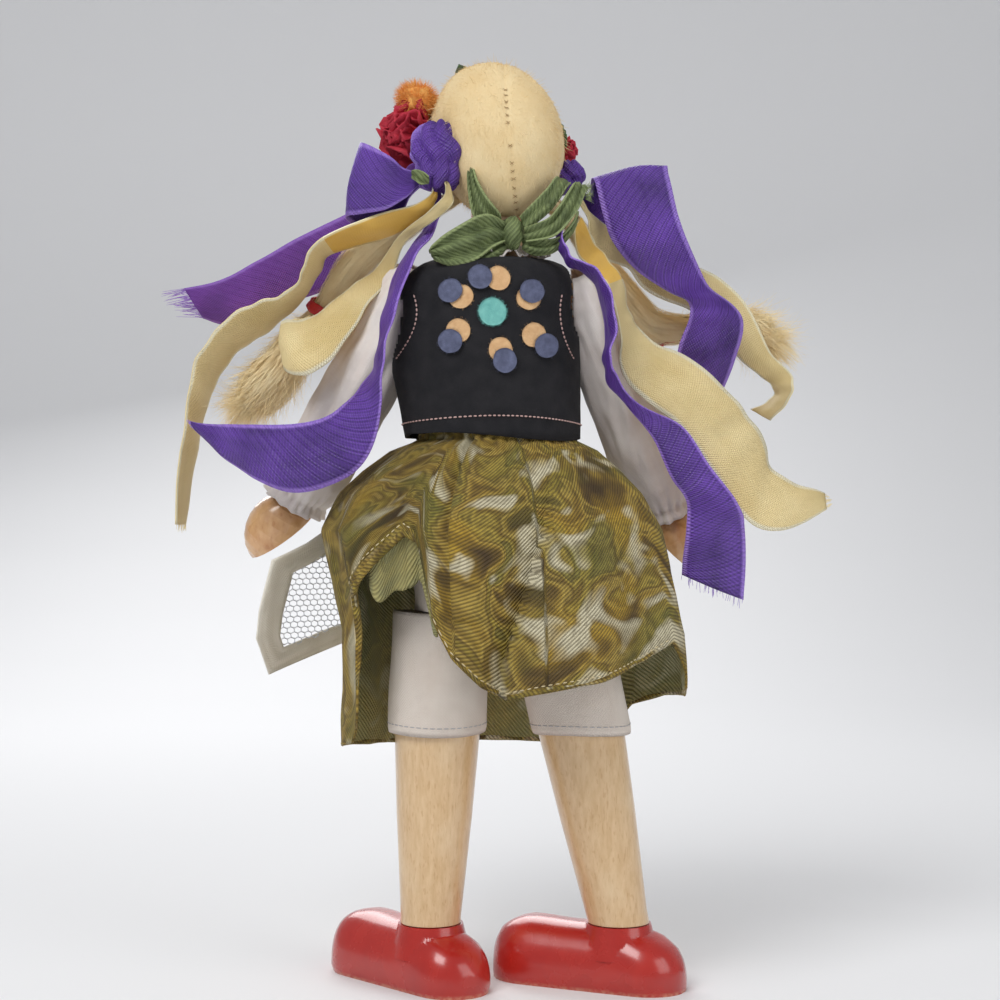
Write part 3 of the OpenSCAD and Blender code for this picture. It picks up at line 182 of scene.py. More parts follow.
grain, g_in, g_out = effect("turned_grain", [
    ("Place", "Vector", None), ("Light", "Color", (1, 1, 1, 1)), ("Dark", "Color", (0, 0, 0, 1)),
    ("Stretch", "Vector", (620.0, 620.0, 130.0))], [("Colour", "Color"), ("Height", "Float"), ("Wear", "Float")])
run = vector_node(grain, "MULTIPLY", g_in["Place"], g_in["Stretch"])
streaks = clouds(grain, run, 1.0, 5.0, Roughness=0.62)
flecks = clouds(grain, run, 2.6, 1.0)
fleck = ranged(grain, flecks, 0.6, 0.7)
broad = clouds(grain, g_in["Place"], 90.0, 3.0)
worn = ranged(grain, broad, 0.5, 0.72)
share = ranged(grain, streaks, 0.32, 0.7)
tone = mix_colour(grain, share, g_in["Dark"], g_in["Light"])
tone = mix_colour(grain, times(grain, fleck, 0.3), tone, g_in["Dark"], "MULTIPLY")
grain.links.new(tone, g_out["Colour"])
grain.links.new(math_node(grain, "SUBTRACT", share, fleck), g_out["Height"])
grain.links.new(worn, g_out["Wear"])


def wood_finish(name, light, dark, rough, coat, worn_tone=None, stretch=(620.0, 620.0, 130.0), bump=0.25):
    finish, tree, shader = new_finish(name, Coat_Weight=coat, Coat_Roughness=0.12)
    place = own_place(tree)
    face = use(tree, grain, Place=place, Light=light, Dark=dark, Stretch=stretch)
    tone = face["Colour"]
    if worn_tone:
        tone = mix_colour(tree, times(tree, face["Wear"], 0.5), tone, worn_tone)
    tree.links.new(tone, shader.inputs["Base Color"])
    tree.links.new(ranged(tree, face["Wear"], to=(rough, rough + 0.15)), shader.inputs["Roughness"])
    emboss(tree, shader, face["Height"], bump, 0.0001)
    return finish


def repaint(finish, *names):
    for name in names:
        piece = parts[name]
        if not piece.material_slots:
            piece.data.materials.append(finish)
        for holder in piece.material_slots:
            holder.material = finish
        for face in piece.data.polygons:
            face.use_smooth = True


def shade_round(name, limit=48):
    """Even shading over a carved piece, whose faces meet at less than a limit in degrees."""
    mesh = parts[name].data
    places = [tuple(round(c / MM, 3) for c in point.co) for point in mesh.vertices]
    meeting = {}
    for face in mesh.polygons:
        for corner in face.vertices:
            meeting.setdefault(places[corner], []).append((face.normal.copy(), face.area))
    least = cos(radians(limit))
    mesh.normals_split_custom_set([sum((
        normal * area for normal, area in meeting[places[corner]] if normal.dot(face.normal) > least),
        Vector()).normalized() for face in mesh.polygons for corner in face.vertices])


beech = wood_finish("varnished_beech", (0.76, 0.54, 0.31, 1), (0.64, 0.42, 0.21, 1), 0.3, 0.6,
                    (0.86, 0.68, 0.45, 1), (900.0, 900.0, 190.0), 0.15)
bare_beech = wood_finish("bare_beech", (0.7, 0.52, 0.31, 1), (0.52, 0.33, 0.16, 1), 0.6, 0.0)
repaint(beech, "left_leg", "right_leg")
repaint(bare_beech, "torso", "neck_dowel", "left_shoulder_peg", "right_shoulder_peg", "left_hip_pin",
        "right_hip_pin", "left_ankle_peg", "right_ankle_peg")

# Arms: turned from one piece each, with a ball hand whose palm is sliced flat. They are
# varnished warmer than the legs.
warm_wood = wood_finish("warm_varnish", (0.78, 0.49, 0.25, 1), (0.6, 0.3, 0.12, 1), 0.25, 0.7,
                        (0.80, 0.54, 0.29, 1), (300.0, 300.0, 160.0), 0.08)
repaint(warm_wood, "left_arm", "right_arm")

# Shoes: carved wood in red gloss paint with a worn, paler line along the sole's edge.
# Each turns on the peg that is glued into its leg.
enamel, tree, shader = new_finish("red_gloss_paint", Coat_Weight=0.5, Coat_Roughness=0.14)
place = own_place(tree)
patch = clouds(tree, place, 150.0, 4.0)
brush = clouds(tree, place, 900.0, 2.0)
tone = mix_colour(tree, patch, (0.36, 0.012, 0.01, 1), (0.52, 0.03, 0.018, 1))
height = node(tree, "ShaderNodeSeparateXYZ", {0: place}).outputs["Z"]
low = ranged(tree, height, 0.0010, 0.0003)
chipped = times(tree, low, ranged(tree, brush, 0.3, 0.7))
tone = mix_colour(tree, times(tree, chipped, 0.7), tone, (0.62, 0.3, 0.18, 1))
tree.links.new(tone, shader.inputs["Base Color"])
tree.links.new(ranged(tree, patch, to=(0.2, 0.34)), shader.inputs["Roughness"])
emboss(tree, shader, patch, 0.16, 0.0004)
repaint(enamel, "left_shoe", "right_shoe")
shade_round("left_shoe")
shade_round("right_shoe")

# Head: a turned egg painted a warm skin tone. The face is only paint: two dot eyes with
# brows, a small nose dot, a smile and a blush on each cheek.
HEAD, HEAD_R, HEAD_H = Vector((0.5, 0, 187.5)), 13.125, 15.7
spot, s_in, s_out = effect("painted_spot", [
    ("Place", "Vector", None), ("Middle", "Vector", (0.0, 0.0, 0.0)), ("Reach", "Vector", (0.001, 1.0, 0.001)),
    ("Edge", "Float", 0.85)], [("Mask", "Float")])
off = vector_node(spot, "SUBTRACT", s_in["Place"], s_in["Middle"])
off = vector_node(spot, "DIVIDE", off, s_in["Reach"])
off = node(spot, "ShaderNodeVectorMath", {0: off}, operation="LENGTH").outputs["Value"]
spot.links.new(ranged(spot, off, 1.0, s_in["Edge"]), s_out["Mask"])

skin, tree, shader = new_finish("painted_skin", Coat_Weight=0.3, Coat_Roughness=0.2, Roughness=0.4)
place = own_place(tree)
face = use(tree, grain, Place=place, Light=(0.82, 0.52, 0.32, 1), Dark=(0.74, 0.42, 0.24, 1))
tone = face["Colour"]


def painted(tone, x, z, wide, tall, edge, paint):
    """The tone with an oval of paint on it, placed from the middle of the face."""
    mask = use(tree, spot, Place=place, Middle=((HEAD.x + x) * MM, 0, (HEAD.z + z) * MM),
               Reach=(wide * MM, 1.0, tall * MM), Edge=edge)["Mask"]
    return mix_colour(tree, mask, tone, paint)


for side in (-1, 1):
    for x, z, wide, tall, edge, paint in (
        (6.4, -5.4, 3.0, 2.6, 0.1, (0.75, 0.2, 0.14, 1)), (4.2, -0.9, 1.75, 1.4, 0.85, (0.9, 0.88, 0.84, 1)),
        (4.1, -0.9, 1.1, 1.25, 0.85, (0.06, 0.12, 0.3, 1)), (4.1, -0.9, 0.55, 0.65, 0.85, (0.005, 0.005, 0.01, 1)),
        (4.4, -0.4, 0.26, 0.26, 0.8, (0.95, 0.95, 0.95, 1)), (4.4, 2.2, 1.9, 0.3, 0.6, (0.28, 0.13, 0.05, 1)),
    ):
        tone = painted(tone, side * x, z, wide, tall, edge, paint)
for z, wide, tall, paint in ((-4.4, 0.75, 0.5, (0.66, 0.25, 0.15, 1)), (-8.0, 2.1, 0.95, (0.55, 0.05, 0.05, 1)),
                             (-7.2, 2.3, 0.8, (0.8, 0.5, 0.31, 1))):
    tone = painted(tone, 0, z, wide, tall, 0.8, paint)
tree.links.new(tone, shader.inputs["Base Color"])
repaint(skin, "head")


# Hair cap: a hood of short cream plush, glued over the head and sewn up the back with brown
# cross stitches, some of them lost. The nap lies downwards, with a few longer stray fibres.
def mesh_piece(name, points, faces, flats=None, smooth=True):
    """An object from points in millimetres; flats gives each point's place on the flat cloth."""
    mesh = bpy.data.meshes.new(name)
    mesh.from_pydata([Vector(p) * MM for p in points], [], faces)
    if flats:
        layer = mesh.uv_layers.new(name="flat")
        for loop in mesh.loops:
            layer.data[loop.index].uv = flats[loop.vertex_index]
    for face in mesh.polygons:
        face.use_smooth = smooth
    mesh.update()
    piece = bpy.data.objects.new(name, mesh)
    shot.collection.objects.link(piece)
    return piece


def grid(first, rows, wide, wrap=True):
    """The faces between rows of points, each row so many points wide."""
    return [(first + i * wide + k, first + i * wide + n, first + (i + 1) * wide + n, first + (i + 1) * wide + k)
            for i in range(rows) for k in range(wide if wrap else wide - 1) for n in ((k + 1) % wide,)]


def thicken(piece, thick, offset=0):
    body = piece.modifiers.new("thickness", "SOLIDIFY")
    body.thickness, body.offset = thick * MM, offset


def cloth_piece(name, rows, thick, wrap=False):
    """Cloth through rows of points in millimetres. Its flat map is in metres along the rows and
    across them, so that threads and prints keep their real size."""
    count, wide = len(rows), len(rows[0])
    middle = count // 2
    along, tried = [0.0], range(0, wide, max(1, wide // 4))
    for i in range(1, count):
        step = sum((Vector(rows[i][k]) - Vector(rows[i - 1][k])).length for k in tried)
        along.append(along[-1] + step / len(tried))
    across = [0.0]
    for k in range(1, wide + (1 if wrap else 0)):
        across.append(across[-1] + (Vector(rows[middle][k % wide]) - Vector(rows[middle][k - 1])).length)
    spread = []
    for i in range(count - 1):
        for k in range(wide if wrap else wide - 1):
            spread += [(across[k], along[i]), (across[k + 1], along[i]), (across[k + 1], along[i + 1]),
                       (across[k], along[i + 1])]
    piece = mesh_piece(name, [p for row in rows for p in row], grid(0, count - 1, wide, wrap))
    for layer_name, across_size, along_size in (("flat", 1 / MM, 1 / MM), ("share", across[-1], along[-1])):
        layer = piece.data.uv_layers.new(name=layer_name)
        for loop, (u, v) in zip(piece.data.loops, spread):
            layer.data[loop.index].uv = (u / across_size, v / along_size)
    if thick:
        thicken(piece, thick)
    return piece


def fit(piece, body, finish, slot, *stands_for):
    """Gives a piece its finish, the body that it rides on and the parts that it stands for."""
    piece.data.materials.append(finish)
    if body:
        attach(piece, body)
    if stands_for:
        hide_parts(*stands_for)
    return piece


def blade(points, faces, pairs):
    """Adds a flat fibre through pairs of points."""
    first = len(points)
    points += [p for pair in pairs for p in pair]
    faces += [(first + 2 * i, first + 2 * i + 1, first + 2 * i + 3, first + 2 * i + 2) for i in range(len(pairs) - 1)]


def any_way(dice, reach):
    """A random vector inside a cube that reaches so far each way."""
    return Vector([dice.uniform(-reach, reach) for _ in range(3)])


def fibres(name, roots, width, bend, steps, seed):
    """Fine fibres as tapered blades; a root is (place, direction with length) in millimetres."""
    dice = random.Random(seed)
    points, faces = [], []
    for place, lie in roots:
        lie = Vector(lie)
        side = lie.cross(any_way(dice, 1)).normalized()
        curl = lie.cross(side).normalized() * lie.length * bend * dice.uniform(-1, 1)
        pairs = []
        for i in range(steps + 1):
            t = i / steps
            at = Vector(place) + lie * t + curl * t * t
            half = side * width * 0.5 * (1 - 0.8 * t)
            pairs.append((at - half, at + half))
        blade(points, faces, pairs)
    return mesh_piece(name, points, faces, smooth=False)


drift, d_in, d_out = effect("colour_drift", [
    ("Place", "Vector", None), ("Scale", "Float", 100.0), ("One", "Color", (1, 1, 1, 1)),
    ("Other", "Color", (0, 0, 0, 1)), ("Spread", "Float", 0.5)], [("Colour", "Color"), ("Amount", "Float")])
cloud = clouds(drift, d_in["Place"], d_in["Scale"], 4.0)
low = math_node(drift, "SUBTRACT", 0.5, times(drift, d_in["Spread"], 0.5))
high = math_node(drift, "ADD", 0.5, times(drift, d_in["Spread"], 0.5))
amount = ranged(drift, cloud, low, high)
drift.links.new(mix_colour(drift, amount, d_in["One"], d_in["Other"]), d_out["Colour"])
drift.links.new(amount, d_out["Amount"])


def napped_finish(name, one, other, scale=220.0, rough=0.95, sheen=0.25, bump=0.5):
    """Plush, felt and hair: colour that drifts, and a fine tangled surface."""
    finish, tree, shader = new_finish(name, Roughness=rough, Sheen_Weight=sheen, Sheen_Roughness=0.5)
    shader.inputs["Sheen Tint"].default_value = (*one[:3], 1)
    place = own_place(tree)
    patch = use(tree, drift, Place=place, Scale=scale, One=one, Other=other, Spread=0.45)
    fuzz = clouds(tree, place, 4200.0, 3.0)
    tone = mix_colour(tree, times(tree, fuzz, 0.35), patch["Colour"], other, "MULTIPLY")
    tree.links.new(tone, shader.inputs["Base Color"])
    emboss(tree, shader, fuzz, bump, 0.0003)
    return finish


plush = napped_finish("cream_plush", (0.88, 0.74, 0.47, 1), (0.80, 0.62, 0.34, 1), 130.0, bump=0.3)
CAP_OUT, CAP_THICK, SEAM = 1.55, 0.9, -0.16
FACE_R, FACE_DOWN, NAPE_R, THROAT_R = 10.2, 2.6, 3.5, 6.8
CAP_HAIRS, STRAY = 15000, 0.06
dice = random.Random(7)


def egg_reach(way, out):
    """How far the head's egg, grown by a distance, reaches from its middle."""
    return 1 / hypot(hypot(way.x, way.y) / (HEAD_R + out), way.z / (HEAD_H + out))


def towards(turn, tilt):
    """The direction at a turn round the up axis and a tilt from it."""
    return Vector((sin(tilt) * cos(turn), sin(tilt) * sin(turn), cos(tilt)))


def shares(count):
    """The shares from 0 to 1 in so many even steps."""
    return [i / count for i in range(count + 1)]


def round_trip(count):
    """So many even turns, once round."""
    return [TURN * k / count for k in range(count)]


def cap_point(turn, tilt):
    """A point of the cap by its turn round the up axis and its tilt from the crown."""
    way = towards(turn, tilt)
    swell = 0.22 * noise.noise(way * 2.3) + 0.08 * noise.noise(way * 6.0)
    seam = 0.3 * exp(-((way.x - SEAM) / 0.03) ** 2) if way.y > 0 else 0
    at = way * (egg_reach(way, CAP_OUT) + swell - seam)
    at.z -= 5.5 * max(0, way.y) * max(0, -way.z) ** 2
    return HEAD + at + Vector((0.09 * at.z, 0, 0))


def in_face(p):
    return p.y < 0 and hypot(p.x - HEAD.x, p.z - (HEAD.z - FACE_DOWN)) < FACE_R


def in_neck(p):
    return p.z < HEAD.z and hypot(p.x - HEAD.x, p.y) < (NAPE_R if p.y > 0 else THROAT_R)


TURNS, TILTS = 144, 90
rows = [[cap_point(turn, pi * (0.002 + 0.996 * i / TILTS)) for turn in round_trip(TURNS)] for i in range(TILTS + 1)]
hood = [p for row in rows for p in row]
panes = []
for i in range(TILTS):
    for k in range(TURNS):
        n = (k + 1) % TURNS
        pane = (i * TURNS + k, (i + 1) * TURNS + k, (i + 1) * TURNS + n, i * TURNS + n)
        middle = sum((hood[c] for c in pane), Vector()) / 4
        if not in_face(middle) and not in_neck(middle):
            panes.append(pane)
cap = mesh_piece("cap_hood", hood, panes)
thicken(cap, CAP_THICK, -1)
fit(cap, "head", plush, "plush", "hair_cap")

roots = []
for i in range(CAP_HAIRS):
    z = 1 - 2 * (i + 0.5) / CAP_HAIRS
    turn = i * GOLDEN_ANGLE
    place = cap_point(turn, acos(z))
    out = (place - HEAD).normalized()
    if in_face(place) or in_neck(place) or (out.y > 0 and abs(out.x - SEAM) < 0.012):
        continue
    down = (Vector((0.25 * sin(9 * turn), 0.1, -1)) - out * out.dot(Vector((0, 0, -1)))).normalized()
    rim = 1.6 if in_face(place + Vector((0, -1, 0)) * 1.5) else 1.0
    stray = 2.6 if dice.random() < STRAY else 1.0
    length = dice.uniform(0.45, 0.9) * rim * stray
    roots.append((place - out * 0.1, (out * dice.uniform(0.25, 0.7) * stray + down + Vector(
        (dice.uniform(-0.4, 0.4), dice.uniform(-0.4, 0.4), 0))).normalized() * length))
fit(fibres("cap_pile", roots, 0.13, 0.3, 2, 3), "head", plush, "plush")

thread_finish, tree, shader = new_finish("brown_thread", Roughness=0.8)
place = own_place(tree)
patch = use(tree, drift, Place=place, Scale=900.0, One=(0.46, 0.31, 0.15, 1), Other=(0.28, 0.17, 0.07, 1), Spread=0.4)
tree.links.new(patch["Colour"], shader.inputs["Base Color"])


def rod(points, faces, a, b, radius, sides=6, belly=1.0):
    """Adds a short thread from a to b to points and faces; belly swells its middle."""
    a, b = Vector(a), Vector(b)
    along = (b - a).normalized()
    right = along.cross(Vector((0.3, 0.2, 0.93))).normalized()
    up = along.cross(right)
    first = len(points)
    stops = ((0, 0.35), (0.12, 0.85), (0.5, belly), (0.88, 0.85), (1, 0.35))
    for t, r in stops:
        for turn in round_trip(sides):
            points.append(a.lerp(b, t) + radius * r * (cos(turn) * right + sin(turn) * up))
    faces += grid(first, len(stops) - 1, sides)
    faces += [tuple(first + j for j in reversed(range(sides))),
              tuple(first + (len(stops) - 1) * sides + j for j in range(sides))]


STITCHES, LOST = 17, (6, 7, 9)
points, faces = [], []
for i in range(STITCHES):
    if i in LOST:
        continue
    tilt = radians(54 + i * 6.0 + dice.uniform(-0.8, 0.8))
    middle = acos(max(-0.9, min(0.9, SEAM / sin(tilt))))
    for lean in (-1, 1):
        ends = []
        for side in (-1, 1):
            wide = dice.uniform(0.018, 0.036) / max(0.35, sin(tilt))
            p = cap_point(middle - side * wide, tilt + lean * side * dice.uniform(0.008, 0.026))
            ends.append(p + (p - HEAD).normalized() * 0.1)
        rod(points, faces, ends[0], ends[1], 0.07)
fit(mesh_piece("cap_stitches", points, faces), "head", thread_finish, "plush")

# Hair tails: mohair locks that come out under the cap, each tied with a red ribbon band
# part of the way down. Past the band the hair fluffs out and ends frayed.
TIE_Z, REACH, TAIL_R, HAIR_W = 184, 73.5, 4.4, 0.07
STRANDS, FLUFF = 3000, 3600
hair_finish = napped_finish("mohair", (0.97, 0.87, 0.60, 1), (0.88, 0.71, 0.41, 1), 300.0, 0.75, 0.45, 0.3)


def through(rows, steps):
    """A smooth run through rows of numbers, with a number of steps from row to row."""
    out = []
    last = len(rows) - 1
    for i in range(last):
        a, b, c, d = (rows[min(max(i + k, 0), last)] for k in (-1, 0, 1, 2))
        for k in range(steps):
            t = k / steps
            out.append([0.5 * (2 * q + (r - p) * t + (2 * p - 5 * q + 4 * r - s) * t * t
                               + (3 * q - 3 * r + s - p) * t ** 3) for p, q, r, s in zip(a, b, c, d)])
    return out + [list(rows[last])]


def hangs_from_head(piece):
    """Hair and ribbons are baked in place where they hang, riding on no body."""
    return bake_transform(piece)


def uneven(*place):
    """A smooth random height at a place."""
    return noise.noise(Vector(place))


def route_frame(route, t):
    """Place, direction and two side directions at a share of a route."""
    f = min(max(t, 0), 0.9999) * (len(route) - 1)
    i = int(f)
    at = route[i].lerp(route[i + 1], f - i)
    lie = (route[min(i + 2, len(route) - 1)] - route[max(i - 1, 0)]).normalized()
    right = Vector((0, 1, 0)).cross(lie).normalized()
    return at, lie, right, lie.cross(right)


weave, w_in, w_out = effect("woven_threads", [
    ("Flat", "Vector", None), ("Across", "Float", 2000.0), ("Along", "Float", 2000.0), ("Slant", "Float", 0.0),
    ("Slanted", "Float", 1500.0)], [("Height", "Float"), ("Slub", "Float")])
split = node(weave, "ShaderNodeSeparateXYZ", {0: w_in["Flat"]}).outputs


def ripple(tree, along, threads):
    return math_node(tree, "SINE", times(tree, times(tree, along, threads), TURN))


plain = times(weave, ripple(weave, split["X"], w_in["Across"]), ripple(weave, split["Y"], w_in["Along"]))
slanting = ripple(weave, math_node(weave, "ADD", split["X"], split["Y"]), w_in["Slanted"])
both = node(weave, "ShaderNodeMix", {0: w_in["Slant"], 2: plain, 3: slanting}).outputs[0]
weave.links.new(math_node(weave, "MULTIPLY_ADD", both, 0.5, 0.5), w_out["Height"])
long_way = node(weave, "ShaderNodeCombineXYZ", {0: times(weave, split["X"], w_in["Across"]),
                                                1: times(weave, split["Y"], 60.0)}).outputs[0]
weave.links.new(clouds(weave, long_way, 0.6, 2.0), w_out["Slub"])


def cloth_finish(name, light, dark, across, along, slant=0.0, slanted=1500.0, rough=0.75, sheen=0.2, bump=0.5,
                 depth=0.00012, drift_scale=120.0, edge=None, weave_share=0.5):
    """Woven cloth: threads at their real count, slubs, faded patches and a paler worn edge."""
    finish, tree, shader = new_finish(name, Roughness=rough, Sheen_Weight=sheen, Sheen_Roughness=0.4)
    shader.inputs["Sheen Tint"].default_value = light
    flat = node(tree, "ShaderNodeUVMap", uv_map="flat").outputs[0]
    place = own_place(tree)
    threads = use(tree, weave, Flat=flat, Across=across, Along=along, Slant=slant, Slanted=slanted)
    patch = use(tree, drift, Place=place, Scale=drift_scale, One=light, Other=dark, Spread=0.5)
    tone = mix_colour(tree, times(tree, threads["Height"], weave_share), patch["Colour"], dark)
    tone = mix_colour(tree, times(tree, threads["Slub"], 0.3), tone, light)
    if edge:
        share = node(tree, "ShaderNodeUVMap", uv_map="share").outputs[0]
        off = math_node(tree, "ABSOLUTE", math_node(tree, "SUBTRACT", node(
            tree, "ShaderNodeSeparateXYZ", {0: share}).outputs["X"], 0.5))
        rim = ranged(tree, off, 0.42, 0.46)
        tone = mix_colour(tree, rim, tone, edge)
    tree.links.new(tone, shader.inputs["Base Color"])
    tree.links.new(ranged(tree, threads["Slub"], to=(rough - 0.1, rough + 0.1)), shader.inputs["Roughness"])
    emboss(tree, shader, threads["Height"], bump, depth)
    return finish


red_band = cloth_finish("red_ribbon", (0.62, 0.03, 0.03, 1), (0.4, 0.012, 0.015, 1), 1800.0, 2200.0, rough=0.5,
                        sheen=0.3)


def cut_size(piece, solid=1.0):
    """In an open net only a share of the area is solid thread."""
    area = sum(face.area for face in piece.data.polygons)
    area *= solid


for side, route_shares, swell, tie_row, seed in (
    ("left", [(0.115, -0.015, -0.11), (0.215, -0.03, -0.16), (0.29, -0.04, -0.205), (0.37, -0.05, -0.25),
              (0.46, -0.1, -0.33), (0.55, -0.15, -0.45), (0.62, -0.17, -0.54), (0.69, -0.18, -0.64),
              (0.755, -0.18, -0.71), (0.80, -0.18, -0.75)],
     (0.42, 0.55, 0.75, 0.95, 0.9, 0.62, 1.15, 1.45, 1.35, 0.5), 5, 11),
    ("right", [(-0.11, -0.015, -0.11), (-0.2, -0.03, -0.175), (-0.28, -0.09, -0.27), (-0.37, -0.18, -0.38),
               (-0.46, -0.22, -0.48), (-0.55, -0.24, -0.5), (-0.64, -0.25, -0.49), (-0.73, -0.25, -0.50),
               (-0.8, -0.24, -0.52), (-0.86, -0.23, -0.55)],
     (0.42, 0.55, 0.7, 0.95, 1, 0.9, 0.62, 1.25, 1.4, 0.55), 6, 12),
):
    rows = through([(*p, s) for p, s in zip(route_shares, swell)], 5)
    route = [Vector((0, 0, TIE_Z)) + REACH * Vector(r[:3]) for r in rows]
    radii = [TAIL_R * r[3] for r in rows]
    core = []
    for i, at in enumerate(route):
        _, lie, right, up = route_frame(route, i / (len(route) - 1))
        core.append([at + radii[i] * (0.72 + 0.16 * uneven(3 * cos(a), 3 * sin(a), i * 0.25)
                                      + 0.1 * cos(7 * a + 0.3 * i)) * (cos(a) * right + sin(a) * up)
                     for a in round_trip(28)])
    lock = cloth_piece(side + "_tail_core", core, 0, wrap=True)
    hangs_from_head(fit(lock, None, hair_finish, "hair", side + "_hair_tail"))
    dice = random.Random(seed)
    points, faces = [], []
    for n in range(STRANDS):
        start = dice.uniform(-0.02, 0.9)
        run, turn, out = dice.uniform(0.12, 0.34), dice.uniform(0, TURN), dice.uniform(0.62, 1.0)
        stray = 1.35 if dice.random() < 0.05 else 1.0
        twist = dice.uniform(-0.7, 0.7)
        pairs = []
        for i in range(7):
            t = start + run * i / 6
            at, lie, right, up = route_frame(route, t)
            r = radii[min(int(max(t, 0) * (len(route) - 1)), len(radii) - 1)] * out * (1 + (stray - 1) * i / 6)
            a = turn + twist * i / 6
            at = at + r * (cos(a) * right + sin(a) * up)
            if t > 1:
                at = at + lie * (t - 1) * 34 + Vector((0, 0, -1)) * (t - 1) ** 2 * 60
            across = lie.cross(cos(a) * right + sin(a) * up).normalized() * HAIR_W * (1 - 0.12 * i)
            pairs.append((at - across, at + across))
        blade(points, faces, pairs)
    strands = mesh_piece(side + "_tail_strands", points, faces, smooth=False)
    hangs_from_head(fit(strands, None, hair_finish, "hair"))
    roots = []
    for n in range(FLUFF):
        t = 1 - 0.42 * dice.random() ** 1.3
        at, lie, right, up = route_frame(route, t)
        a = dice.uniform(0, TURN)
        out = cos(a) * right + sin(a) * up
        r = radii[int(t * (len(radii) - 1))] * dice.uniform(0.3, 0.95)
        roots.append((at + out * r, (lie * dice.uniform(0.5, 1.3) + out * dice.uniform(0.1, 0.9) + any_way(dice, 0.4))
                      * dice.uniform(2.4, 5.6)))
    hangs_from_head(fit(fibres(side + "_tail_fluff", roots, 0.1, 0.75, 4, seed + 1), None, hair_finish, "hair"))

    at, lie, right, up = route_frame(route, tie_row * 5 / (len(route) - 1))
    r = TAIL_R * swell[tie_row] + 0.75
    ring = [[at + lie * (1.2 * (v - 0.5) * 1.9 + 0.25 * sin(3 * a + v)) + (r + 0.2 * sin(5 * a + 6 * v)) * (
        cos(a) * right + sin(a) * up) for a in round_trip(48)] for v in shares(4)]
    band = cloth_piece(side + "_tie_band", ring, 0.35, wrap=True)
    ends = []
    for flip in (-1, 1):
        rows = []
        for t in shares(12):
            away = right * (0.9 if side == "left" else -0.9) * (r + 0.4 + 1.6 * t * t) + lie * flip * (1 + 10.5 * t)
            half = up * (1.2 + 1.3 * t)
            notch = lie * flip * (-1.8 * t ** 6)
            middle = at + away + right * 0.5 * sin(5 * t + flip)
            rows.append([middle - half, middle - half * 0.5 + notch * 0.5 + right * 0.25, middle + notch,
                         middle + half * 0.5 + notch * 0.5 - right * 0.25, middle + half])
        ends.append(cloth_piece("%s_tie_end_%s" % (side, "up" if flip < 0 else "down"), rows, 0.35))
    hangs_from_head(fit(band, None, red_band, "red_tie", side + "_hair_tie"))
    for end in ends:
        hangs_from_head(fit(end, None, red_band, "red_tie"))
        cut_size(end)

# Wreath: a green band over the front of the cap carries the flowers and leaves. The flowers
# are scraps of dyed cloth, ruffled and sewn on; one is all fluff, and the front one's centre is.
TILT, SEAT_OUT = radians(-35), 2.3


def on_wreath(angle, rise=0.0, out=0.0):
    """The frame of a piece on the wreath; its x points out of the head."""
    turned = (Matrix.Rotation(TILT, 4, "X") @ Matrix.Rotation(-radians(angle), 4, "Z")
              @ Matrix.Rotation(-radians(rise), 4, "Y"))
    reach = egg_reach(turned @ Vector((1, 0, 0)), SEAT_OUT)
    return Matrix.Translation(HEAD) @ turned @ Matrix.Translation((reach + out, 0, 0))


BAND_OUT, WREATH_W = 1.95, 3.2
green_band = cloth_finish("green_band", (0.09, 0.17, 0.06, 1), (0.04, 0.09, 0.03, 1), 1400.0, 1400.0, rough=0.8)
rows = []
for i in range(5):
    z = WREATH_W * (i / 4 - 0.5)
    line = []
    for k in range(121):
        a = pi + pi * k / 120
        way = (Matrix.Rotation(TILT, 3, "X") @ Vector((15 * cos(a), 15 * sin(a), z))).normalized()
        line.append(HEAD + way * (egg_reach(way, BAND_OUT) + 0.15 * cos(40 * a)) + Vector((0, 0, 0.15 * sin(11 * a))))
    rows.append(line)
band = fit(cloth_piece("wreath_ribbon", rows, 0.4), "head", green_band, "wreath_green", "wreath_band")
cut_size(band)

leaf_finish, tree, shader = new_finish("leaf_cloth", Roughness=0.6, Sheen_Weight=0.2)
share = node(tree, "ShaderNodeUVMap", uv_map="flat").outputs[0]
place = own_place(tree)
patch = use(tree, drift, Place=place, Scale=380.0, One=(0.05, 0.12, 0.035, 1), Other=(0.02, 0.05, 0.02, 1), Spread=0.5)
threads = use(tree, weave, Flat=share, Across=2400.0, Along=2400.0)
tree.links.new(mix_colour(tree, times(tree, threads["Height"], 0.35), patch["Colour"], (0.12, 0.2, 0.08, 1)),
               shader.inputs["Base Color"])
emboss(tree, shader, threads["Height"], 0.4, 0.0001)
leaves = []
for angle, rise, stand in ((64, 27, 62), (52, -14, 0), (112, 12, 0), (114, -15, 0)):
    seat = on_wreath(angle, rise, 0.5 + stand * 0.02) @ Matrix.Rotation(radians(stand), 4, "X")
    rows = []
    for t in shares(18):
        half = 2.1 * sin(pi * min(1, t * 1.02)) ** 0.75 * (1 - 0.35 * t) + 0.05
        lift = 1.1 * sin(pi * t) + 0.9 * t * t
        rows.append([seat @ Vector((lift + 0.55 * abs(v) ** 1.4 - 0.5 + 0.12 * sin(9 * t + 4 * v),
                                    9.0 * (t - 0.5), half * v)) for v in (-1, -0.6, -0.25, 0, 0.25, 0.6, 1)])
    leaves.append(cloth_piece("wreath_leaf_%d" % (len(leaves) + 1), rows, 0.3))
for leaf in leaves:
    fit(leaf, "head", leaf_finish, "leaf_green", *(["wreath_leaves"] if leaf is leaves[0] else []))


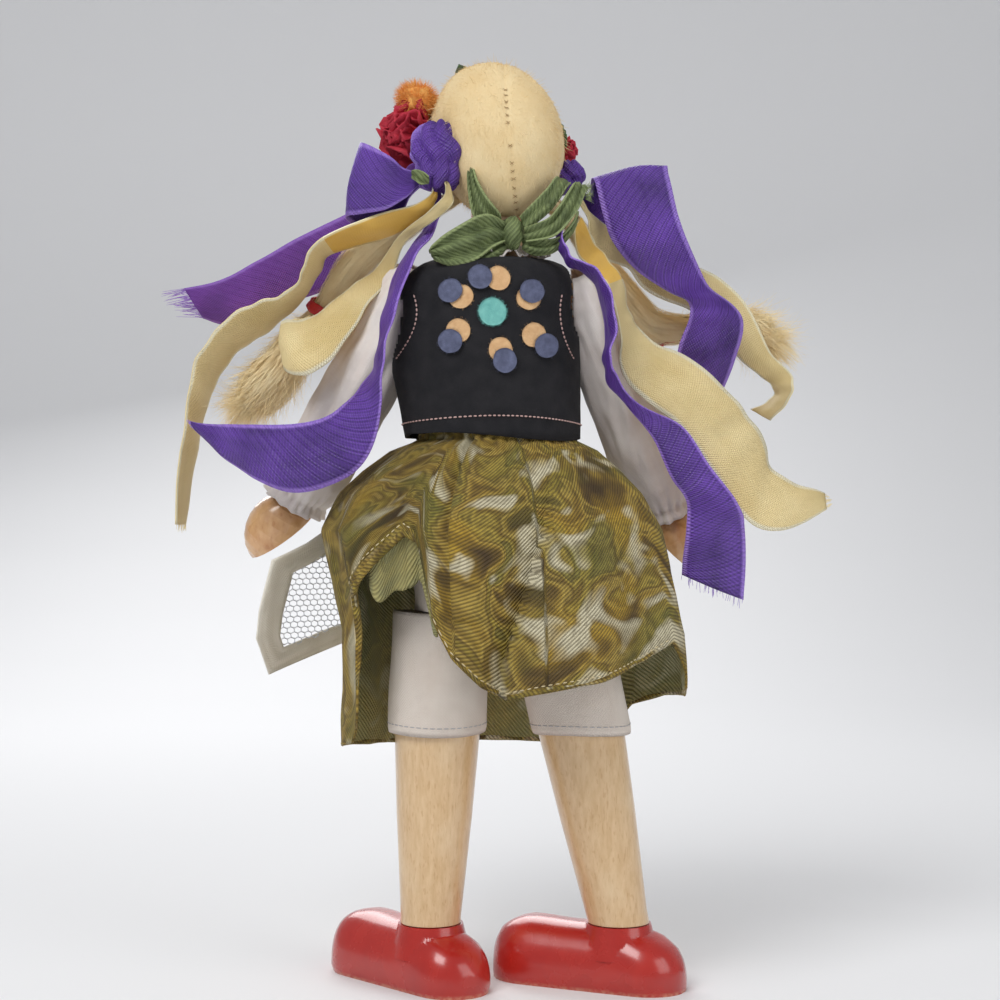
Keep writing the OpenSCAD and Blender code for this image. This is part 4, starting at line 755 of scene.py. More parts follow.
def ruffled_petals(name, seat, size, count, seed, wide=0.5, cup=0.5):
    """A flower of ruffled scraps of cloth; size is its half height, half width and half depth."""
    dice = random.Random(seed)
    points, faces, flats = [], [], []
    for n in range(count):
        z = 1 - 2 * (n + 0.5) / count
        turn = n * GOLDEN_ANGLE + dice.uniform(-0.3, 0.3)
        way = Vector((max(0.15, 0.9 - 0.55 * abs(z)), sqrt(1 - z * z) * cos(turn) * 0.9, z)).normalized()
        side = way.cross(any_way(dice, 1)).normalized()
        over = way.cross(side)
        long = dice.uniform(0.8, 1.08)
        first = len(points)
        steps, wides = 8, 10
        for i in range(steps + 1):
            t = i / steps
            half = wide * (0.35 + 0.65 * sin(pi * 0.5 * min(1, 1.25 * t)))
            for k in range(wides + 1):
                u = 2 * k / wides - 1
                ruffle = 0.2 * t * sin(7 * u + n) + 0.12 * uneven(u * 2 + n, t * 3, n * 0.7)
                p = way * long * (t * (1 - 0.22 * u * u) + 0.05 * t * sin(11 * u + 2 * n)) + side * half * u
                p = p + over * (cup * t * t * (0.5 - 0.7 * u * u) * 0.6 + ruffle)
                points.append(seat @ Vector((p.x * size[0], p.y * size[1], p.z * size[2])))
                flats.append((u * half * size[1] * MM, t * size[0] * MM))
        faces += grid(first, steps, wides + 1, wrap=False)
    piece = mesh_piece(name, points, faces, flats)
    thicken(piece, 0.22)
    return piece


def scrap_finish(name, light, dark):
    return cloth_finish(name, light, dark, 2300.0, 2300.0, rough=0.7, sheen=0.35, drift_scale=420.0, weave_share=0.25)


red_scrap = scrap_finish("red_scraps", (0.62, 0.03, 0.06, 1), (0.36, 0.01, 0.03, 1))
yellow_scrap = scrap_finish("yellow_scraps", (0.8, 0.5, 0.1, 1), (0.6, 0.3, 0.04, 1))
for name, seat, size, count, seed, finish, slot, stands in (
    ("left_red_petals", on_wreath(14, -6, 0.6), (11.4, 8.6, 10.6), 46, 21, red_scrap, "red_petals", "red_flower_left"),
    ("right_red_petals", on_wreath(154, -22, 0.4), (4.6, 4.9, 4.9), 22, 22, red_scrap, "red_petals",
     "red_flower_right"),
    ("front_yellow_petals", on_wreath(90, 0, 0.75), (3.7, 5.2, 5.2), 20, 23, yellow_scrap, "yellow_petals",
     "front_flower"),
):
    fit(ruffled_petals(name, seat, size, count, seed), "head", finish, slot, stands)

ORANGE_HAIRS, CENTRE_HAIRS = 2600, 420
fluff = napped_finish("orange_fluff", (0.90, 0.56, 0.17, 1), (0.82, 0.30, 0.05, 1), 420.0, 0.9, 0.3, 0.4)
seat = on_wreath(20, 20, 4.2)


def ball(name, rings, sides, pole, place):
    """A closed ball; place gives its point for a direction, the direction's turn and its tilt."""
    tilts = [pi * (pole + (1 - 2 * pole) * i / rings) for i in range(rings + 1)]
    rows = [[place(towards(turn, tilt), turn, tilt) for turn in round_trip(sides)] for tilt in tilts]
    return cloth_piece(name, rows, 0, wrap=True)


def orange_at(way, turn, tilt):
    swell = 0.8 + 0.28 * noise.noise(way * 2.6 + Vector((5, 1, 2)))
    return seat @ Vector((5.0 * way.x * swell, 4.8 * way.y * swell, 3.4 * way.z * swell))


fit(ball("orange_core", 16, 32, 0.01, orange_at), "head", fluff, "orange_petals", "orange_flower")
dice = random.Random(31)
roots = []
middle = seat @ Vector((0, 0, 0))
for n in range(ORANGE_HAIRS):
    way = Vector((dice.gauss(0.1, 1), dice.gauss(0, 1), dice.gauss(0, 1))).normalized()
    at = seat @ Vector((4.0 * way.x, 3.8 * way.y, 2.7 * way.z))
    roots.append((at, (at - middle).normalized() * dice.uniform(0.9, 2.1)))
fit(fibres("orange_fluff", roots, 0.13, 0.8, 3, 32), "head", fluff, "orange_petals")
seat = on_wreath(90, 0, 3.9)
dice = random.Random(33)
roots = []
for n in range(CENTRE_HAIRS):
    at = seat @ Vector((0, dice.gauss(0, 0.8), dice.gauss(0, 0.8)))
    out = seat @ Vector((1, 0, 0)) - seat @ Vector((0, 0, 0))
    roots.append((at, (out + any_way(dice, 0.5)) * dice.uniform(0.7, 1.5)))
fit(fibres("front_flower_centre", roots, 0.15, 0.6, 2, 33), "head", fluff, "yellow_petals")

# Ribbon knots: at each end of the wreath a purple ribbon is gathered into a pleated bunch
# and sewn down. The long ribbons hang out of these two bunches.
purple = cloth_finish("purple_taffeta", (0.23, 0.085, 0.64, 1), (0.012, 0.002, 0.055, 1), 1300.0, 1300.0, 0.3, 900.0,
                      rough=0.4, sheen=0.15, bump=1.0, depth=0.0003, edge=(0.34, 0.2, 0.7, 1), drift_scale=75.0,
                      weave_share=0.9)
magenta = cloth_finish("purple_taffeta_worn", (0.26, 0.07, 0.5, 1), (0.05, 0.006, 0.12, 1), 1450.0, 1450.0,
                       0.25, 1050.0, rough=0.5, sheen=0.3, bump=0.9, depth=0.00025, edge=(0.3, 0.14, 0.55, 1),
                       drift_scale=75.0, weave_share=0.6)
# The gold ribbons are one cloth in two copies: this pale one carries painted light, and the golden one below carries
# painted shade.
gold = cloth_finish("gold_ribbon_painted_light", (0.98, 0.82, 0.46, 1), (0.68, 0.49, 0.18, 1), 1300.0, 1900.0, rough=0.5, sheen=0.2,
                    bump=1.0, depth=0.00022, edge=(1.0, 0.92, 0.66, 1), drift_scale=80.0, weave_share=0.45)
gold_shaded_copy = cloth_finish("gold_ribbon_painted_shade", (0.88, 0.56, 0.12, 1), (0.58, 0.32, 0.04, 1), 1300.0, 2300.0, rough=0.36,
                         sheen=0.2, bump=0.5, depth=0.00012, edge=(0.84, 0.7, 0.38, 1), drift_scale=70.0)


def at_reach(place):
    return Vector((0, 0, TIE_Z)) + REACH * Vector(place)


for side, place, size, seed in (("left", (0.182, 0.118, -0.02), (6.6, 4.8, 9.6), 41),
                                ("right", (-0.205, -0.02, -0.06), (4.2, 4.0, 4.8), 42)):

    def bunch_at(way, turn, tilt):
        pleat = abs(sin(3.5 * turn + 1.6 * sin(2.3 * tilt) + seed)) ** 0.8
        pinch = 1 - 0.2 * exp(-((way.z + 0.25) / 0.2) ** 2)
        swell = (0.74 + 0.28 * pleat * sin(tilt) + 0.1 * noise.noise(way * 3 + Vector((seed, 0, 0)))) * pinch
        return at_reach(place) + Vector((size[0] * way.x, size[1] * way.y, size[2] * way.z)) * swell

    fit(ball(side + "_knot_bunch", 32, 72, 0.015, bunch_at), "head", purple, "purple_ribbon", side + "_ribbon_knot")

# Ribbons: purple taffeta, and gold given as two copies of one cloth, a pale ribbed one with painted light
# and a glossier golden one with painted shade. Each is cut from a roll and tied in at a knot. They arch out, twist and
# fall, and their ends are fraying.
RIBBON_W, RIBBON_STEPS, RIBBON_PANES = 13.0, 7, 8


def ribbon(name, edges, finish, back, slot, curl, fray, turned):
    """A ribbon between two edges in shares of the reach; its first rows may show the other side."""
    rows = []
    seed = len(name) * 3 + len(edges)
    run = through(edges, RIBBON_STEPS)
    for i, row in enumerate(run):
        a, b = at_reach(row[:3]), at_reach(row[3:])
        before, after = run[max(0, i - 1)], run[min(len(run) - 1, i + 1)]
        lie = (at_reach(after[:3]) + at_reach(after[3:]) - at_reach(before[:3]) - at_reach(before[3:]))
        face = lie.cross(b - a).normalized()
        wide = (b - a).length
        line = []
        for k in range(RIBBON_PANES + 1):
            u = k / RIBBON_PANES
            bow = curl * wide * (u * (1 - u) * 4 - 0.6)
            wave = 0.14 * sin(0.9 * i + 2.5 * u + seed) + 0.5 * uneven(i * 0.21, u * 2.2, seed)
            line.append(a.lerp(b, u) + face * (bow + wave))
        rows.append(line)
    piece = cloth_piece(name + "_ribbon", rows, 0.3)
    hangs_from_head(fit(piece, None, finish, slot, name))
    piece.data.materials.append(back)
    piece.data.materials.append(finish)
    piece.modifiers["thickness"].material_offset = 1
    for face in piece.data.polygons:
        face.material_index = 1 if face.index < turned * RIBBON_STEPS * RIBBON_PANES else 0
    cut_size(piece)
    if fray:
        dice = random.Random(seed)
        points, faces = [], []
        last, before = rows[-1], rows[-4]
        for n in range(int(fray * 16)):
            u = dice.uniform(0, RIBBON_PANES - 0.01)
            k = int(u)
            at = last[k].lerp(last[k + 1], u - k)
            lie = (at - before[k].lerp(before[k + 1], u - k)).normalized()
            drop = Vector((dice.uniform(-0.5, 0.5), dice.uniform(-0.4, 0.4), dice.uniform(-0.7, 0.2)))
            rod(points, faces, at - lie * 0.4, at + (lie + 0.5 * drop) * dice.uniform(0.5, fray), 0.05, 4)
        hangs_from_head(fit(mesh_piece(name + "_ribbon_fray", points, faces), None, finish, slot))


left_purple_loop = [
    (0.195, 0.115, -0.03, 0.195, 0.115, -0.07), (0.24, 0.15, -0.065, 0.24, 0.15, -0.11),
    (0.28, 0.15, -0.06, 0.275, 0.16, -0.145), (0.33, 0.15, -0.02, 0.34, 0.15, -0.18),
    (0.40, 0.13, 0.018, 0.43, 0.12, -0.19), (0.42, 0.08, 0.025, 0.465, 0.08, -0.19),
    (0.39, 0.05, -0.01, 0.445, 0.05, -0.21), (0.335, 0.05, -0.07, 0.385, 0.045, -0.23),
    (0.29, 0.06, -0.08, 0.31, 0.055, -0.2), (0.262, 0.09, -0.085, 0.262, 0.09, -0.13),
    (0.205, 0.1, -0.05, 0.205, 0.1, -0.08)]
left_purple_tail = [
    (0.2, 0.09, -0.01, 0.2, 0.09, -0.03), (0.262, 0.05, -0.03, 0.262, 0.05, -0.065),
    (0.31, -0.03, -0.05, 0.30, -0.03, -0.12), (0.385, -0.14, -0.10, 0.345, -0.14, -0.21),
    (0.495, -0.2, -0.15, 0.441, -0.2, -0.335), (0.63, -0.23, -0.21, 0.58, -0.23, -0.39),
    (0.765, -0.24, -0.285, 0.715, -0.24, -0.43), (0.885, -0.25, -0.345, 0.843, -0.25, -0.485),
    (0.996, -0.25, -0.37, 0.935, -0.25, -0.465)]
left_purple_long = [
    (0.2, 0.09, -0.075, 0.18, 0.09, -0.085), (0.205, 0.07, -0.135, 0.175, 0.07, -0.15),
    (0.235, 0.08, -0.235, 0.19, 0.11, -0.225), (0.30, 0.12, -0.335, 0.249, 0.18, -0.315),
    (0.345, 0.135, -0.46, 0.297, 0.22, -0.445), (0.363, 0.135, -0.58, 0.335, 0.22, -0.575),
    (0.39, 0.14, -0.665, 0.348, 0.22, -0.70), (0.444, 0.14, -0.735, 0.357, 0.2, -0.813),
    (0.516, 0.14, -0.79, 0.402, 0.18, -0.927), (0.60, 0.13, -0.81, 0.495, 0.15, -0.99),
    (0.696, 0.1, -0.812, 0.615, 0.14, -1.014), (0.795, 0.06, -0.81, 0.735, 0.1, -0.972),
    (0.885, 0, -0.807, 0.84, 0.03, -0.903), (0.942, -0.03, -0.798, 0.93, -0.03, -0.82)]
left_yellow_long = [
    (0.195, 0.115, -0.085, 0.185, 0.105, -0.1), (0.2, 0.14, -0.125, 0.19, 0.125, -0.15),
    (0.245, 0.13, -0.16, 0.22, 0.1, -0.19), (0.384, 0.12, -0.2, 0.324, 0.05, -0.249),
    (0.525, 0.1, -0.26, 0.5, -0.06, -0.285), (0.573, 0.08, -0.315, 0.549, -0.1, -0.34),
    (0.60, 0.03, -0.378, 0.59, -0.13, -0.405), (0.66, 0, -0.42, 0.66, -0.15, -0.475),
    (0.738, -0.02, -0.444, 0.738, -0.18, -0.528), (0.822, -0.04, -0.483, 0.807, -0.2, -0.57),
    (0.894, -0.06, -0.561, 0.864, -0.22, -0.633), (0.94, -0.08, -0.65, 0.9, -0.24, -0.702),
    (0.96, -0.09, -0.789, 0.927, -0.25, -0.786), (0.981, -0.1, -0.915, 0.955, -0.25, -0.92),
    (0.996, -0.12, -1.113, 0.985, -0.26, -1.113)]
left_yellow_loop = [
    (0.18, 0.13, -0.07, 0.165, 0.13, -0.085), (0.16, 0.17, -0.13, 0.135, 0.17, -0.155),
    (0.21, 0.155, -0.185, 0.18, 0.16, -0.205), (0.3, 0.095, -0.25, 0.28, 0.095, -0.27),
    (0.372, 0.02, -0.335, 0.325, 0.05, -0.365), (0.456, 0, -0.39, 0.385, 0.06, -0.435),
    (0.534, 0, -0.455, 0.44, 0.08, -0.525), (0.60, 0.02, -0.49, 0.505, 0.1, -0.615),
    (0.648, 0.02, -0.49, 0.585, 0.09, -0.663), (0.668, -0.02, -0.50, 0.657, 0.03, -0.64),
    (0.635, -0.05, -0.49, 0.62, -0.01, -0.56), (0.58, -0.06, -0.475, 0.565, -0.03, -0.53)]
right_purple_loop = [
    (-0.215, -0.03, -0.055, -0.215, -0.03, -0.08), (-0.262, -0.07, -0.1, -0.262, -0.07, -0.16),
    (-0.275, -0.1, -0.1, -0.31, -0.1, -0.2), (-0.278, -0.1, -0.07, -0.435, -0.1, -0.13),
    (-0.28, -0.05, -0.05, -0.5, -0.05, -0.02), (-0.288, 0, -0.075, -0.51, 0, -0.05),
    (-0.318, 0.03, -0.204, -0.531, 0.03, -0.159), (-0.348, 0.03, -0.273, -0.555, 0.03, -0.234),
    (-0.414, 0.01, -0.345, -0.594, 0, -0.315), (-0.504, -0.01, -0.402, -0.636, -0.02, -0.39),
    (-0.57, -0.02, -0.435, -0.714, -0.03, -0.45), (-0.575, -0.04, -0.49, -0.741, -0.04, -0.505),
    (-0.545, -0.08, -0.579, -0.723, -0.08, -0.603), (-0.555, -0.11, -0.669, -0.684, -0.11, -0.705)]
right_purple_long = [
    (-0.16, 0.16, -0.25, -0.18, 0.19, -0.245), (-0.175, 0.15, -0.305, -0.19, 0.22, -0.3),
    (-0.204, 0.15, -0.351, -0.225, 0.23, -0.34), (-0.264, 0.16, -0.385, -0.282, 0.24, -0.368),
    (-0.294, 0.16, -0.459, -0.322, 0.25, -0.45), (-0.309, 0.16, -0.549, -0.335, 0.25, -0.543),
    (-0.3, 0.16, -0.624, -0.318, 0.25, -0.615), (-0.318, 0.16, -0.693, -0.338, 0.22, -0.675),
    (-0.384, 0.16, -0.774, -0.405, 0.18, -0.755), (-0.45, 0.16, -0.855, -0.534, 0.17, -0.819),
    (-0.504, 0.14, -0.969, -0.618, 0.14, -0.933), (-0.555, 0.11, -1.047, -0.705, 0.1, -1.044),
    (-0.555, 0.06, -1.164, -0.741, 0.02, -1.134), (-0.549, 0.02, -1.263, -0.744, -0.05, -1.344)]
right_yellow_loop = [
    (-0.215, -0.01, -0.085, -0.22, -0.015, -0.07), (-0.262, 0.02, -0.19, -0.265, 0.0, -0.155),
    (-0.28, 0, -0.249, -0.32, -0.05, -0.195), (-0.31, -0.02, -0.303, -0.384, -0.07, -0.213),
    (-0.39, -0.06, -0.327, -0.48, -0.12, -0.249), (-0.456, -0.09, -0.399, -0.57, -0.14, -0.297),
    (-0.57, -0.11, -0.444, -0.684, -0.14, -0.351), (-0.666, -0.13, -0.504, -0.771, -0.14, -0.444),
    (-0.735, -0.14, -0.594, -0.837, -0.14, -0.579), (-0.804, -0.15, -0.651, -0.894, -0.12, -0.645),
    (-0.849, -0.18, -0.687, -0.897, -0.08, -0.693), (-0.84, -0.21, -0.723, -0.876, -0.11, -0.744),
    (-0.786, -0.22, -0.753, -0.84, -0.17, -0.789)]
right_yellow_long = [
    (-0.225, 0.1, -0.22, -0.245, 0.07, -0.19), (-0.225, 0.12, -0.294, -0.28, 0.08, -0.265),
    (-0.262, 0.125, -0.345, -0.324, 0.08, -0.321), (-0.318, 0.13, -0.399, -0.366, 0.07, -0.375),
    (-0.345, 0.13, -0.483, -0.385, 0.07, -0.465), (-0.358, 0.13, -0.564, -0.41, 0.07, -0.513),
    (-0.36, 0.13, -0.655, -0.465, 0.07, -0.567), (-0.435, 0.13, -0.745, -0.57, 0.05, -0.609),
    (-0.51, 0.13, -0.795, -0.684, 0.02, -0.702), (-0.579, 0.1, -0.875, -0.75, 0, -0.777),
    (-0.66, 0.07, -0.99, -0.804, -0.03, -0.849), (-0.75, 0.04, -1.1, -0.831, -0.05, -0.939),
    (-0.855, 0.01, -1.128, -0.915, -0.07, -0.987), (-0.993, -0.03, -1.065, -0.993, -0.07, -1.014)]
for name, edges, finish, curl, fray, turned in (
    ("left_purple_loop", left_purple_loop, purple, 0.05, 0, 0),
    ("left_purple_tail", left_purple_tail, magenta, 0.06, 5.5, 0),
    ("left_purple_long", left_purple_long, purple, 0.08, 1.5, 0),
    ("left_yellow_long", left_yellow_long, gold_shaded_copy, 0.06, 1.5, 4),
    ("left_yellow_loop", left_yellow_loop, gold_shaded_copy, 0.08, 0, 0),
    ("right_purple_loop", right_purple_loop, purple, 0.06, 0, 0),
    ("right_purple_long", right_purple_long, purple, 0.05, 2.2, 0),
    ("right_yellow_long", right_yellow_long, gold_shaded_copy, 0.04, 1.5, 3),
    ("right_yellow_loop", right_yellow_loop, gold_shaded_copy, 0.05, 0, 0),
):
    # Each gold ribbon shows the painted-shade copy on one side and the painted-light copy on the other.
    back, slot = (gold, "yellow_ribbon") if finish is gold_shaded_copy else (finish, "purple_ribbon")
    ribbon(name, edges, finish, back, slot, curl, fray, turned)

# Nape bow: a green cotton ribbon goes round the neck and is knotted at the back. One wide
# end hangs to the doll's left, the other side is folded into loops, and a scrap sits higher.
green = cloth_finish("green_ribbon", (0.25, 0.31, 0.12, 1), (0.03, 0.05, 0.014, 1), 1500.0, 1500.0, 0.75, 850.0,
                     rough=0.7, sheen=0.15, bump=1.0, depth=0.0002, drift_scale=330.0, edge=(0.27, 0.33, 0.14, 1),
                     weave_share=0.7)
BOW_Z, BAND_R, BAND_W, BOW_RIB, BOW_HAIRS = 167.8, 6.8, 3.0, 16, 260
rows = []
for i in range(5):
    z = BOW_Z + BAND_W * (i / 4 - 0.5)
    rows.append([(HEAD.x + r * cos(a), r * sin(a), z + 0.25 * sin(7 * a) + 0.15 * sin(17 * a))
                 for a in round_trip(96) for r in (BAND_R + 0.18 * sin(9 * a + i),)])
neck_band = cloth_piece("nape_band", rows, 0.5, wrap=True)
fit(neck_band, "head", green, "green_ribbon", "nape_bow")
cut_size(neck_band)


def nape_knot_at(way, turn, tilt):
    swell = 0.92 + 0.16 * abs(sin(2.5 * turn + 2 * tilt)) + 0.1 * noise.noise(way * 2.5)
    return Vector((-2.8, 12.0, 165.4)) + Vector((2.1 * way.x, 2.6 * way.y, 3.5 * way.z)) * swell


fit(ball("nape_knot", 24, 40, 0.02, nape_knot_at), "head", green, "green_ribbon")


def seen(x, z, y):
    """A place measured square on from behind, moved in to its real depth."""
    near = 1 - y / CAMERA_Y
    return Vector((x * near, y, CAMERA_Z + (z - CAMERA_Z) * near))


rows = []
for t in shares(12):
    rows.append([seen(19.6 - 3.8 * t, 180.2 - 1.3 * t + 3.0 * (v - 0.5) * (0.5 + 0.5 * sin(pi * t)),
                      12.6 + 0.9 * sin(pi * t) + 0.35 * sin(9 * v + 5 * t)) for v in shares(10)])
scrap = fit(cloth_piece("knot_scrap", rows, 0.35), "head", green, "green_ribbon")
for name, edges, folds, ribs in (
    ("nape_side", [(-0.2, 169.6, 10.6, -2.2, 166.6, 9.6), (0.2, 171.6, 12.4, 1.8, 166.0, 11.4),
                   (2.6, 174.6, 13.4, 5.8, 170.4, 12.2), (5.0, 178.6, 13.0, 7.0, 176.4, 11.6),
                   (6.2, 182.6, 11.6, 7.2, 182.0, 10.4)], 0.7, 4.0),
    ("nape_end", [(-1.1, 169.4, 12.8, -1.4, 165.4, 12.8), (2.9, 171.2, 14.2, 1.6, 163.8, 13.4),
                  (8.0, 169.2, 15.2, 5.6, 160.8, 14.0), (12.6, 166.4, 15.0, 10.2, 159.8, 13.8),
                  (15.4, 164.0, 14.2, 14.0, 161.0, 13.4), (15.6, 163.0, 10.0, 14.6, 161.4, 10.0)], 1.2, 4.0),
    ("nape_end_under", [(-1.0, 166.6, 11.8, -1.6, 163.6, 11.8), (2.2, 165.4, 12.6, 1.0, 161.2, 12.4),
                        (6.2, 163.8, 13.2, 4.2, 159.6, 12.8), (9.6, 162.6, 13.0, 7.8, 158.2, 12.6)], 0.9, 3.0),
    ("nape_loop", [(-4.4, 170.6, 11.2, -5.6, 167.6, 12.4), (-8.0, 174.4, 12.0, -10.2, 171.2, 13.4),
                   (-10.4, 176.9, 12.0, -12.9, 174.3, 13.8), (-12.0, 179.2, 11.4, -14.9, 177.4, 13.0),
                   (-12.8, 179.6, 7.0, -15.8, 178.2, 8.0)], 0.6, 3.0),
    ("nape_fold", [(-5.4, 168.2, 13.0, -5.8, 165.2, 13.4), (-10.5, 170.2, 14.8, -11.6, 166.2, 14.8),
                   (-13.2, 173.2, 15.2, -15.3, 169.4, 15.0), (-15.0, 176.0, 14.8, -17.6, 172.9, 14.4),
                   (-16.4, 178.2, 13.6, -19.1, 177.0, 13.2), (-16.8, 178.4, 9.0, -19.2, 177.4, 9.0)], 0.7, 4.0),
    ("nape_under", [(-4.9, 166.8, 11.8, -5.0, 163.6, 11.6), (-9.1, 165.6, 13.2, -7.8, 162.3, 12.8),
                    (-13.3, 166.3, 13.4, -12.0, 163.0, 13.0), (-16.2, 169.4, 12.8, -15.3, 166.0, 12.4),
                    (-17.4, 172.0, 10.0, -17.0, 169.0, 9.6)], 0.7, 3.0),
):
    rows = []
    for i, (ax, az, ay, bx, bz, by) in enumerate(through(edges, 10)):
        a, b = seen(ax, az, ay), seen(bx, bz, by)
        rows.append([a.lerp(b, k / BOW_RIB) + Vector((0, 1, 0.2)) * folds * (
            0.6 * sin(ribs * pi * k / BOW_RIB + 0.08 * i) + 0.55 * uneven(i * 0.1, k * 0.22, ribs))
            for k in range(BOW_RIB + 1)])
    piece = cloth_piece(name, rows, 0.4)
    fit(piece, "head", green, "green_ribbon")
    cut_size(piece)
dice = random.Random(51)
roots = [(seen(-19.4 + dice.uniform(-0.6, 0.6), 176.6 + dice.uniform(-2.2, 1.2), 13.2),
          Vector((dice.uniform(-0.9, 0.1), dice.uniform(-0.3, 0.3), dice.uniform(-0.8, 0.9))) * dice.uniform(0.6, 1.6))
         for n in range(BOW_HAIRS)]
fit(fibres("nape_fray", roots, 0.1, 0.8, 3, 52), "head", green, "green_ribbon")

# Blouse: thin white cotton on the body under the bodice, with a crinkled ruffle for a
# collar. Only its neck shows between the bow and the felt.
cotton = cloth_finish("white_cotton", (0.84, 0.79, 0.75, 1), (0.66, 0.58, 0.54, 1), 2300.0, 2300.0, rough=0.85,
                      sheen=0.15, bump=0.5, drift_scale=140.0, weave_share=0.3)
AXIS, SHOULDER_Z, CHEST_R, WAIST_R = 0.5, 151, 15.8, 14.3
ROUND, SHOULDER_TOP = 4.74, 158.0


def worn_round(out, bottom, neck):
    """The profile of a garment round the body, from the hem to the neck, as (radius, height)."""
    line = [(WAIST_R + out, bottom), (WAIST_R + out, 126.5), (CHEST_R + out, 128.2), (CHEST_R + out, 140),
            (CHEST_R + out, SHOULDER_TOP - ROUND)]
    line += [(CHEST_R - ROUND * (1 - cos(a)) + out * cos(a), SHOULDER_TOP - ROUND * (1 - sin(a))
              + out * sin(a)) for a in (radians(15 * k) for k in range(1, 6))]
    return line + [(CHEST_R - ROUND, SHOULDER_TOP + out), (neck, SHOULDER_TOP + out)]


def finely(line, step):
    """The same line with points no further apart than a step."""
    out = []
    for a, b in zip(line, line[1:]):
        parts_of_run = max(1, ceil(dist(a, b) / step))
        out += [tuple(p + (q - p) * k / parts_of_run for p, q in zip(a, b)) for k in range(parts_of_run)]
    return out + [line[-1]]


def in_armhole(p, r):
    return hypot(p[1], p[2] - SHOULDER_Z) < r and abs(p[0] - AXIS) > 7


def drop_faces(piece, gone):
    """Takes away the faces whose middle is gone, such as an armhole."""
    work = bmesh.new()
    work.from_mesh(piece.data)
    bmesh.ops.delete(work, geom=[f for f in work.faces if gone(f.calc_center_median() / MM)], context="FACES")
    work.to_mesh(piece.data)
    work.free()


rows = []
for r, z in finely(worn_round(0.7, 118.8, 6.5), 1.2):
    rows.append([(AXIS + (r + 0.08 * sin(23 * a + z)) * cos(a), (r + 0.08 * sin(19 * a)) * sin(a), z)
                 for a in round_trip(120)])
blouse = cloth_piece("blouse_body", rows, 0.4, wrap=True)
drop_faces(blouse, lambda p: in_armhole(p, 7.8))
fit(blouse, "torso", cotton, "white_cotton", "blouse")
cut_size(blouse)

rows = []
for t in shares(10):
    ring = []
    for a in round_trip(288):
        crinkle = sin(18 * a + 0.8 * sin(5 * a)) + 0.5 * sin(41 * a)
        behind = max(0, sin(a))
        r = 6.6 + (4.9 + 0.9 * behind) * t ** 0.8 + 0.22 * t * sin(29 * a + 2 * t)
        ruffle = 0.75 * crinkle + 0.5 * uneven(9 * cos(a), 9 * sin(a), t)
        z = (1 - behind) * (160.3 + 3.0 * t ** 1.2) + behind * (164.4 - 3.4 * t) + ruffle * t
        ring.append((AXIS + r * cos(a), r * sin(a), z))
    rows.append(ring)
collar = cloth_piece("collar_ruffle", rows, 0.35, wrap=True)
fit(collar, "torso", cotton, "white_cotton", "collar")
cut_size(collar)

# Sleeves: white cotton tubes gathered into the armholes and drawn in at the cuffs, where
# the cloth below the gathering thread stands out in a small frill. They ride on the arms.
ARM_X, SLEEVE_R, SLEEVE_LEN, SLEEVE_TOP, SLEEVE_MOUTH, CUFF = 20.0, 7.9, 53.0, 8.0, 16.4, 0.955
PUFF = [(0, 0.5), (0.03, 0.8), (0.1, 0.95), (0.35, 1.0), (0.7, 1.03), (0.86, 1.05), (0.93, 0.92), (CUFF, 0.78),
        (0.975, 0.82), (1, 0.93)]


def arm_frame(side):
    """The frame of an arm: its -z runs from the shoulder peg to the fingertip."""
    splay, forward = ((30, 18), (21, 22))[side < 0]
    turn = Matrix.Translation((0, 0, SHOULDER_Z)) @ Matrix.Rotation(-radians(forward), 4, "X")
    turn = turn @ Matrix.Translation((0, 0, -SHOULDER_Z))
    lean = Matrix.Translation((ARM_X, 0, SHOULDER_Z)) @ Matrix.Rotation(-radians(splay), 4, "Y")
    mirror = Matrix.Diagonal((side, 1, 1, 1))
    return Matrix.Translation((AXIS, 0, 0)) @ turn @ mirror @ lean


for side, name, body in ((1, "left", "left_arm"), (-1, "right", "right_arm")):
    seat = arm_frame(side)
    rows = []
    for t in shares(72):
        down = SLEEVE_TOP - (SLEEVE_LEN + SLEEVE_TOP) * t
        size = next(b[1] + (a[1] - b[1]) * (b[0] - t) / (b[0] - a[0]) for a, b in zip(PUFF, PUFF[1:]) if t <= b[0])
        ring = []
        for a in round_trip(96):
            drag = 0.8 * uneven(2.2 * cos(a), 2.2 * sin(a) + side, down * 0.07)
            crease = 0.45 * sin(6 * a + 0.05 * down + side) + 0.95 * uneven(
                4 * cos(a), 4 * sin(a), down * 0.13 + a * 0.4 + 7 * side)
            gather = 0.42 * sin(22 * a + sin(3 * a)) * exp(-((t - CUFF) / 0.05) ** 2)
            frill = 0.5 * sin(13 * a) * max(0, (t - 0.96) / 0.04)
            top = 0.3 * sin(18 * a) * exp(-(t / 0.08) ** 2)
            r = SLEEVE_R * size + drag + crease * min(1, 4 * (1 - t)) * 0.8 + gather + frill + top
            ring.append(seat @ Vector((r * cos(a), r * sin(a), down)))
        rows.append(ring)
    sleeve = cloth_piece(name + "_sleeve_cloth", rows, 0.45, wrap=True)
    drop_faces(sleeve, lambda p: abs(p[0] - AXIS) < SLEEVE_MOUTH)
    fit(sleeve, body, cotton, "white_cotton", name + "_sleeve")
    cut_size(sleeve)

# Bodice: a vest of black felt sewn round the body. Its left edge stands off behind the arm,
# and pinkish running stitches follow the lower edge and the armholes.
felt = napped_finish("black_felt", (0.018, 0.017, 0.02, 1), (0.006, 0.006, 0.009, 1), 300.0, 0.97, 0.12, 0.6)
FELT_OFF, HEM_CUT, ARMHOLE_R, STITCH_OUT = 2.0, 121.5, 8.7, 0.72
FELT_R = CHEST_R + FELT_OFF


